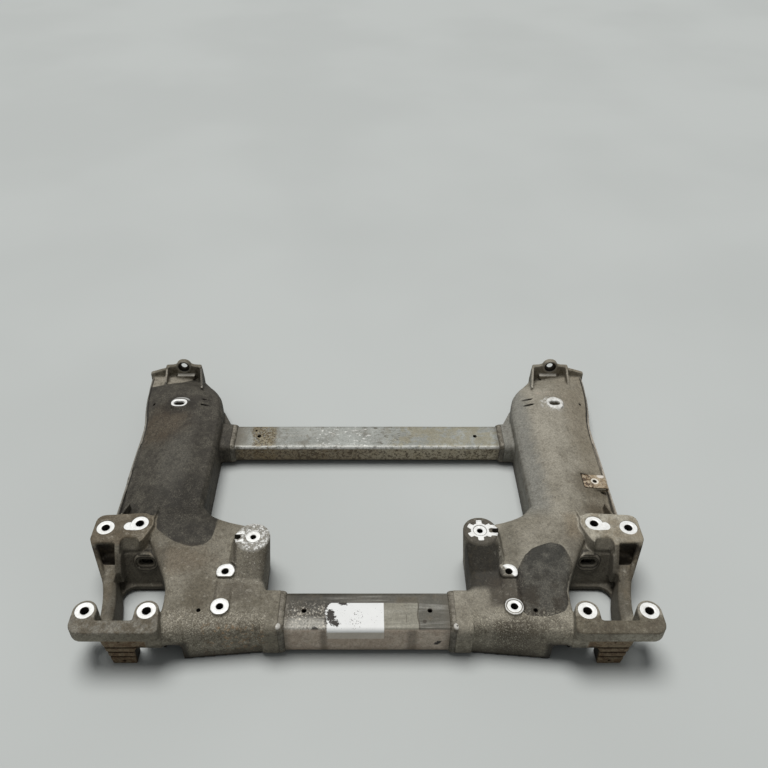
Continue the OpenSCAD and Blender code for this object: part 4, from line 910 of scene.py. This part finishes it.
def flats(side):
    """Flat cuts: boss fronts, grooves of the column, notches of the member and the seat of the clip."""
    tools = Tools(side)
    x, y, _ = RACK_REAR
    tools.take(block(x - 20, x + 20, y - RACK_FLAT - 9, y - RACK_FLAT, RACK_FLAT_Z, RACK_FLAT_Z + PAST))
    length, depth, height = GROOVE_SIZE
    for z in GROOVES_Z:
        x, y = COLUMN
        tools.take(block(x - length / 2, x + length / 2, y - 6, y + depth, z, z + height))
    half_x, half_y = NOTCH_SIZE[0] / 2, NOTCH_SIZE[1] / 2
    for x, y in NOTCHES:
        tools.take(block(x - half_x, x + half_x, y - half_y, y + half_y, NOTCH_Z, NOTCH_Z + PAST))
    if side > 0:
        tools.take(block(-2, 74, -19, 19, 0, 12), CLIP_SEAT, [("y", CLIP_TILT)])
        tools.take(block(6, 74, -19, 19, -18.5, -6.5), CLIP_SEAT, [("y", CLIP_TILT)])
    return tools


def drills(side):
    """Bores, turned faces and slots."""
    tools = Tools(side)
    for pads, z in ((FRONT_PADS, FRONT_PAD_Z), (BLOCK_PADS, BLOCK_Z)):
        face = z - PAD_FACE_DEPTH
        for x, y in pads:
            tools.take(lathe([(0, -PAST), (PAD_HOLE_R, -PAST), (PAD_HOLE_R, face), (PAD_FACE_R, face),
                              (PAD_FACE_R, z + 9), (0, z + 9)]), (x, y, 0))
    for x, y, z in (RACK_REAR, RACK_FRONT):
        r, wide = RACK_HOLE_R, RACK_BOSS_R + 3
        tools.take(lathe([(0, -PAST), (r, -PAST), (r, z - 0.8), (r + 0.8, z - 0.3), (wide, z - 0.3),
                          (wide, z + 7), (0, z + 7)]), (x, y, 0))
    y = ENGINE_Y[side]
    r, z = ENGINE_HOLE_R, ENGINE_Z
    sink, wide = ENGINE_SINK_R, ENGINE_FACE_R
    tools.take(lathe([(0, 72), (r, 72), (r, z - 2.4), (r + 0.8, z - 1.4), (sink, z - 1.4), (sink, z - 0.6),
                      (wide, z - 0.6), (wide, z + 8), (0, z + 8)]), (ENGINE_X, y, 0))
    tools.take(slot_solid(28, 2 * r, z - 14, z + 8), (LOCATING_X + 9, y, 0))
    tools.take(slot_solid(*MEMBER_SLOT_SIZE, -PAST, 100), (*MEMBER_SLOT, 0))
    lean = [("x", math.pi / 2 - POCKET_LEAN)]
    tools.take(slot_solid(34, 20, POCKET_BOSS - 2, 50), POCKET_SLOT, lean)
    tools.take(slot_solid(26, 12, -30, POCKET_BOSS - 2.001), POCKET_SLOT, lean)
    sink = LUG_SINK_DEPTH
    tools.take(lathe([(0, -12), (LUG_RING_R, -12), (LUG_RING_R, 0.2), (LUG_SINK_R, 0.2), (LUG_SINK_R, sink),
                      (LUG_HOLE_R, sink), (LUG_HOLE_R, 30), (0, 30)]), LUG, [("x", -math.pi / 2)])
    for (x, y), r in ((DECK_HOLE, DECK_HOLE_R), (MEMBER_HOLE, MEMBER_HOLE_R)):
        tools.take(lathe([(0, 20), (r, 20), (r, 100), (0, 100)], 24), (x, y, 0))
    r = COLUMN_HOLE_R
    for z in COLUMN_HOLES_Z:
        tools.take(lathe([(0, -6), (r, -6), (r, 12), (0, 12)], 24), (*COLUMN, z), [("x", -math.pi / 2)])
    if side > 0:
        x, y, z = CLIP_SEAT
        r = CLIP_HOLE_R
        tools.take(lathe([(0, -12), (r, -12), (r, 6), (0, 6)], 32), (x + CLIP_HOLE, y, z))
    return tools


def copied(name, node, large_faces=False):
    """New piece with a copy of a CAD node's mesh, its points joined and its flat faces whole if asked."""
    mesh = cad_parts[node].data.copy()
    mesh.materials.clear()
    shape = bmesh.new()
    shape.from_mesh(mesh)
    bmesh.ops.remove_doubles(shape, verts=shape.verts, dist=1e-6)
    if large_faces:
        bmesh.ops.dissolve_limit(shape, angle_limit=math.radians(1), verts=shape.verts, edges=shape.edges)
    shape.to_mesh(mesh)
    shape.free()
    return link(name, mesh)


def casting(node, side, paint):
    """The CAD casting with the rounded edges and uneven skin of a cast part, its bores cut afresh."""
    piece = copied("cast_" + node, node)
    remesh = piece.modifiers.new("cast", "REMESH")
    remesh.mode = "VOXEL"
    remesh.voxel_size = CAST_VOXEL
    soften = piece.modifiers.new("soften", "SMOOTH")
    soften.factor = 0.5
    soften.iterations = CAST_ROUNDS
    settle(piece)
    thin = piece.modifiers.new("thin", "DECIMATE")
    thin.ratio = min(1.0, CAST_TRIANGLES / triangles(piece.data))
    settle(piece)
    flats(side).cut(piece)
    drills(side).cut(piece)
    dress(piece, paint, CAST_SHARP, node)


def dress(piece, paint, sharp, node):
    """Gives a piece its paint and shading, hangs it on the root body and hides the CAD node it stands for.
    """
    piece.data.materials.clear()
    piece.data.materials.append(paint)
    piece.data.polygons.foreach_set("use_smooth", [True] * len(piece.data.polygons))
    piece.data.set_sharp_from_angle(angle=math.radians(sharp))
    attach(piece, "root")
    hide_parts(node)


def outward(piece):
    """Turns all faces outwards."""
    shape = bmesh.new()
    shape.from_mesh(piece.data)
    bmesh.ops.recalc_face_normals(shape, faces=shape.faces)
    shape.to_mesh(piece.data)
    shape.free()


def rounded_outline(half_w, half_h, r, count):
    """Points and outward normals round a rectangle with rounded corners, evenly apart."""
    sides = [2 * (half_h - r), math.pi * r / 2, 2 * (half_w - r), math.pi * r / 2] * 2
    total = sum(sides)
    points, normals = [], []
    for k in range(count):
        s = total * k / count
        i = 0
        while s > sides[i]:
            s -= sides[i]
            i += 1
        quarter = i // 2
        w, h = (half_w, half_h) if quarter % 2 == 0 else (half_h, half_w)
        if i % 2 == 0:
            point, normal = (w, -(h - r) + s), (1.0, 0.0)
        else:
            normal = (math.cos(s / r), math.sin(s / r))
            point = (w - r + r * normal[0], h - r + r * normal[1])
        c, q = math.cos(quarter * math.pi / 2), math.sin(quarter * math.pi / 2)
        points.append((point[0] * c - point[1] * q, point[0] * q + point[1] * c))
        normals.append((normal[0] * c - normal[1] * q, normal[0] * q + normal[1] * c))
    return np.array(points), np.array(normals), total


def node_box(node):
    """Half sizes and middle of a node, in millimetres."""
    low, high = (np.array(corner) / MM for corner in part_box(node))
    return (high - low) / 2, (high + low) / 2


def tube(node, paint, holes):
    """Cross tube with drawn faces that are a little uneven."""
    half, middle = node_box(node)
    n, wall = TUBE_POINTS, TUBE_WALL
    ring, normal, _ = rounded_outline(half[1], half[2], TUBE_CORNER, n)
    bore, _, _ = rounded_outline(half[1] - wall, half[2] - wall, TUBE_CORNER - wall, n)
    verts, faces = [], []
    xs = np.linspace(-half[0], half[0], TUBE_STEPS + 1)
    for x in xs:
        # Two slow waves, kept just below the CAD surface
        sag = 0.12 * np.sin(x / 61.0 + ring[:, 0] / 23.0) + 0.1 * np.sin(x / 37.0 - ring[:, 1] / 17.0) - 0.25
        verts += [(x, *p) for p in ring + normal * sag[:, None]]
    for x in xs:
        verts += [(x, *p) for p in bore]
    shift = (TUBE_STEPS + 1) * n
    last = TUBE_STEPS * n
    for k in range(n):
        j = (k + 1) % n
        for a in range(0, last, n):
            faces.append((a + k, a + j, a + j + n, a + k + n))
            faces.append((shift + a + j, shift + a + k, shift + a + k + n, shift + a + j + n))
        faces.append((j, k, shift + k, shift + j))
        faces.append((last + k, last + j, shift + last + j, shift + last + k))
    piece = link("drawn_" + node, mesh_from("drawn_" + node, (np.array(verts) + middle) * MM, faces))
    outward(piece)
    tools = Tools()
    for x, y, r in holes:
        tools.take(lathe([(0, 0), (r, 0), (r, half[2] + 5), (0, half[2] + 5)], 32), (x, y, middle[2]))
    tools.cut(piece)
    dress(piece, paint, SHEET_SHARP, node)


def weld(node, tube_node, side, paint, ball):
    """Weld bead with ripples, run round the tube against the end of the collar."""
    half, middle = node_box(tube_node)
    low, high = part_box(node)
    face_x = (high[0] if side > 0 else low[0]) / MM
    ring, normal, total = rounded_outline(half[1], half[2], TUBE_CORNER, WELD_POINTS)
    # A ball of metal is left where the bead ends, at the front top corner
    crater = np.array([-(half[1] - TUBE_CORNER) - TUBE_CORNER * 0.4, half[2] - TUBE_CORNER * 0.1])
    verts, faces = [], []
    for k, (p, q) in enumerate(zip(ring, normal)):
        s = total * k / len(ring)
        lump = 0.5 * math.sin(s / 9.1) + 0.35 * math.sin(s / 23.7 + 1.0)
        swell = ball * math.exp(-np.sum((p - crater) ** 2) / 18.0)
        for j in range(WELD_ACROSS):
            a = math.pi / 2 * j / (WELD_ACROSS - 1)
            phase = 2 * math.pi * (s / WELD_RIPPLE + 0.42 * math.cos(a * 2) ** 2)
            r = WELD_FILL + 0.03 * math.sin(phase) + 0.03 * lump
            out = (WELD_LEG * r + swell * math.sin(a)) * math.sin(a)
            along = WELD_RUN * r * math.cos(a) - swell * 0.7 * math.sin(a)
            verts.append((face_x - side * along, p[0] + q[0] * out, p[1] + q[1] * out))
        verts.append((face_x, p[0] - 0.3 * q[0], p[1] - 0.3 * q[1]))
    n = WELD_ACROSS + 1
    for k in range(len(ring)):
        m = (k + 1) % len(ring)
        for j in range(n):
            i = (j + 1) % n
            faces.append((k * n + j, m * n + j, m * n + i, k * n + i))
    verts = (np.array(verts) + [0, middle[1], middle[2]]) * MM
    piece = link("bead_" + node, mesh_from("bead_" + node, verts, faces))
    outward(piece)
    dress(piece, paint, WELD_SHARP, node)


def clip(node, paint):
    """The folded clip nut with rounded sheet edges."""
    piece = copied("folded_" + node, node, large_faces=True)
    soften = piece.modifiers.new("edges", "BEVEL")
    soften.width = 0.0005
    soften.segments = 2
    soften.limit_method = "ANGLE"
    soften.angle_limit = math.radians(SHEET_SHARP)
    settle(piece)
    dress(piece, paint, SHEET_SHARP, node)


def stage():
    """Pale floor, soft light from above and the camera."""
    size = FLOOR_HALF
    corners = [(-size, -size, 0), (size, -size, 0), (size, size, 0), (-size, size, 0)]
    floor = link("floor", mesh_from("floor", corners, [(0, 1, 2, 3)]))
    p = Paint("floor_paint")
    p.colour = p.mix(p.spots(0.35, 0.65, 900, 3, 0.5, 81.0), (192, 195, 192), (197, 200, 197))
    floor.data.materials.append(p.finish(0.75, 0.0, 0.2))
    world = bpy.data.worlds.new("studio")
    bpy.context.scene.world = world
    world.use_nodes = True
    background = world.node_tree.nodes["Background"]
    background.inputs[0].default_value = SKY_COLOUR
    background.inputs[1].default_value = SKY_LEVEL

    data = bpy.data.lights.new("ceiling", "SUN")
    data.energy = SUN_LEVEL
    data.angle = math.radians(SUN_WIDTH)
    lamp = link("ceiling", data)
    lamp.rotation_euler = (math.radians(SUN_TURN[0]), math.radians(SUN_TURN[1]), 0)

    data = bpy.data.cameras.new("camera")
    data.sensor_width = SENSOR
    data.sensor_fit = "HORIZONTAL"
    data.lens = SENSOR * FOCAL / PICTURE
    data.shift_x = (PICTURE / 2 - MIDDLE_X) / PICTURE
    camera = link("camera", data)
    camera.location = CAMERA_PLACE
    camera.rotation_euler = (math.radians(90 - CAMERA_DOWN), 0, 0)
    bpy.context.scene.camera = camera
    bpy.context.scene.view_settings.view_transform = "Standard"


stage()
casting("left_side_casting", -1, cast_paint("cast_left", -1))
casting("right_side_casting", 1, cast_paint("cast_right", 1))
tube("front_cross_tube", tube_paint("tube_front", True), FRONT_TUBE_HOLES)
tube("rear_cross_tube", tube_paint("tube_rear", False), REAR_TUBE_HOLES)
bead = weld_paint("weld")
weld("front_left_weld", "front_cross_tube", -1, bead, WELD_BALL)
weld("front_right_weld", "front_cross_tube", 1, bead, WELD_BALL)
weld("rear_left_weld", "rear_cross_tube", -1, bead, 0.0)
weld("rear_right_weld", "rear_cross_tube", 1, bead, 0.0)
clip("clip_nut", rust_paint("rusty"))
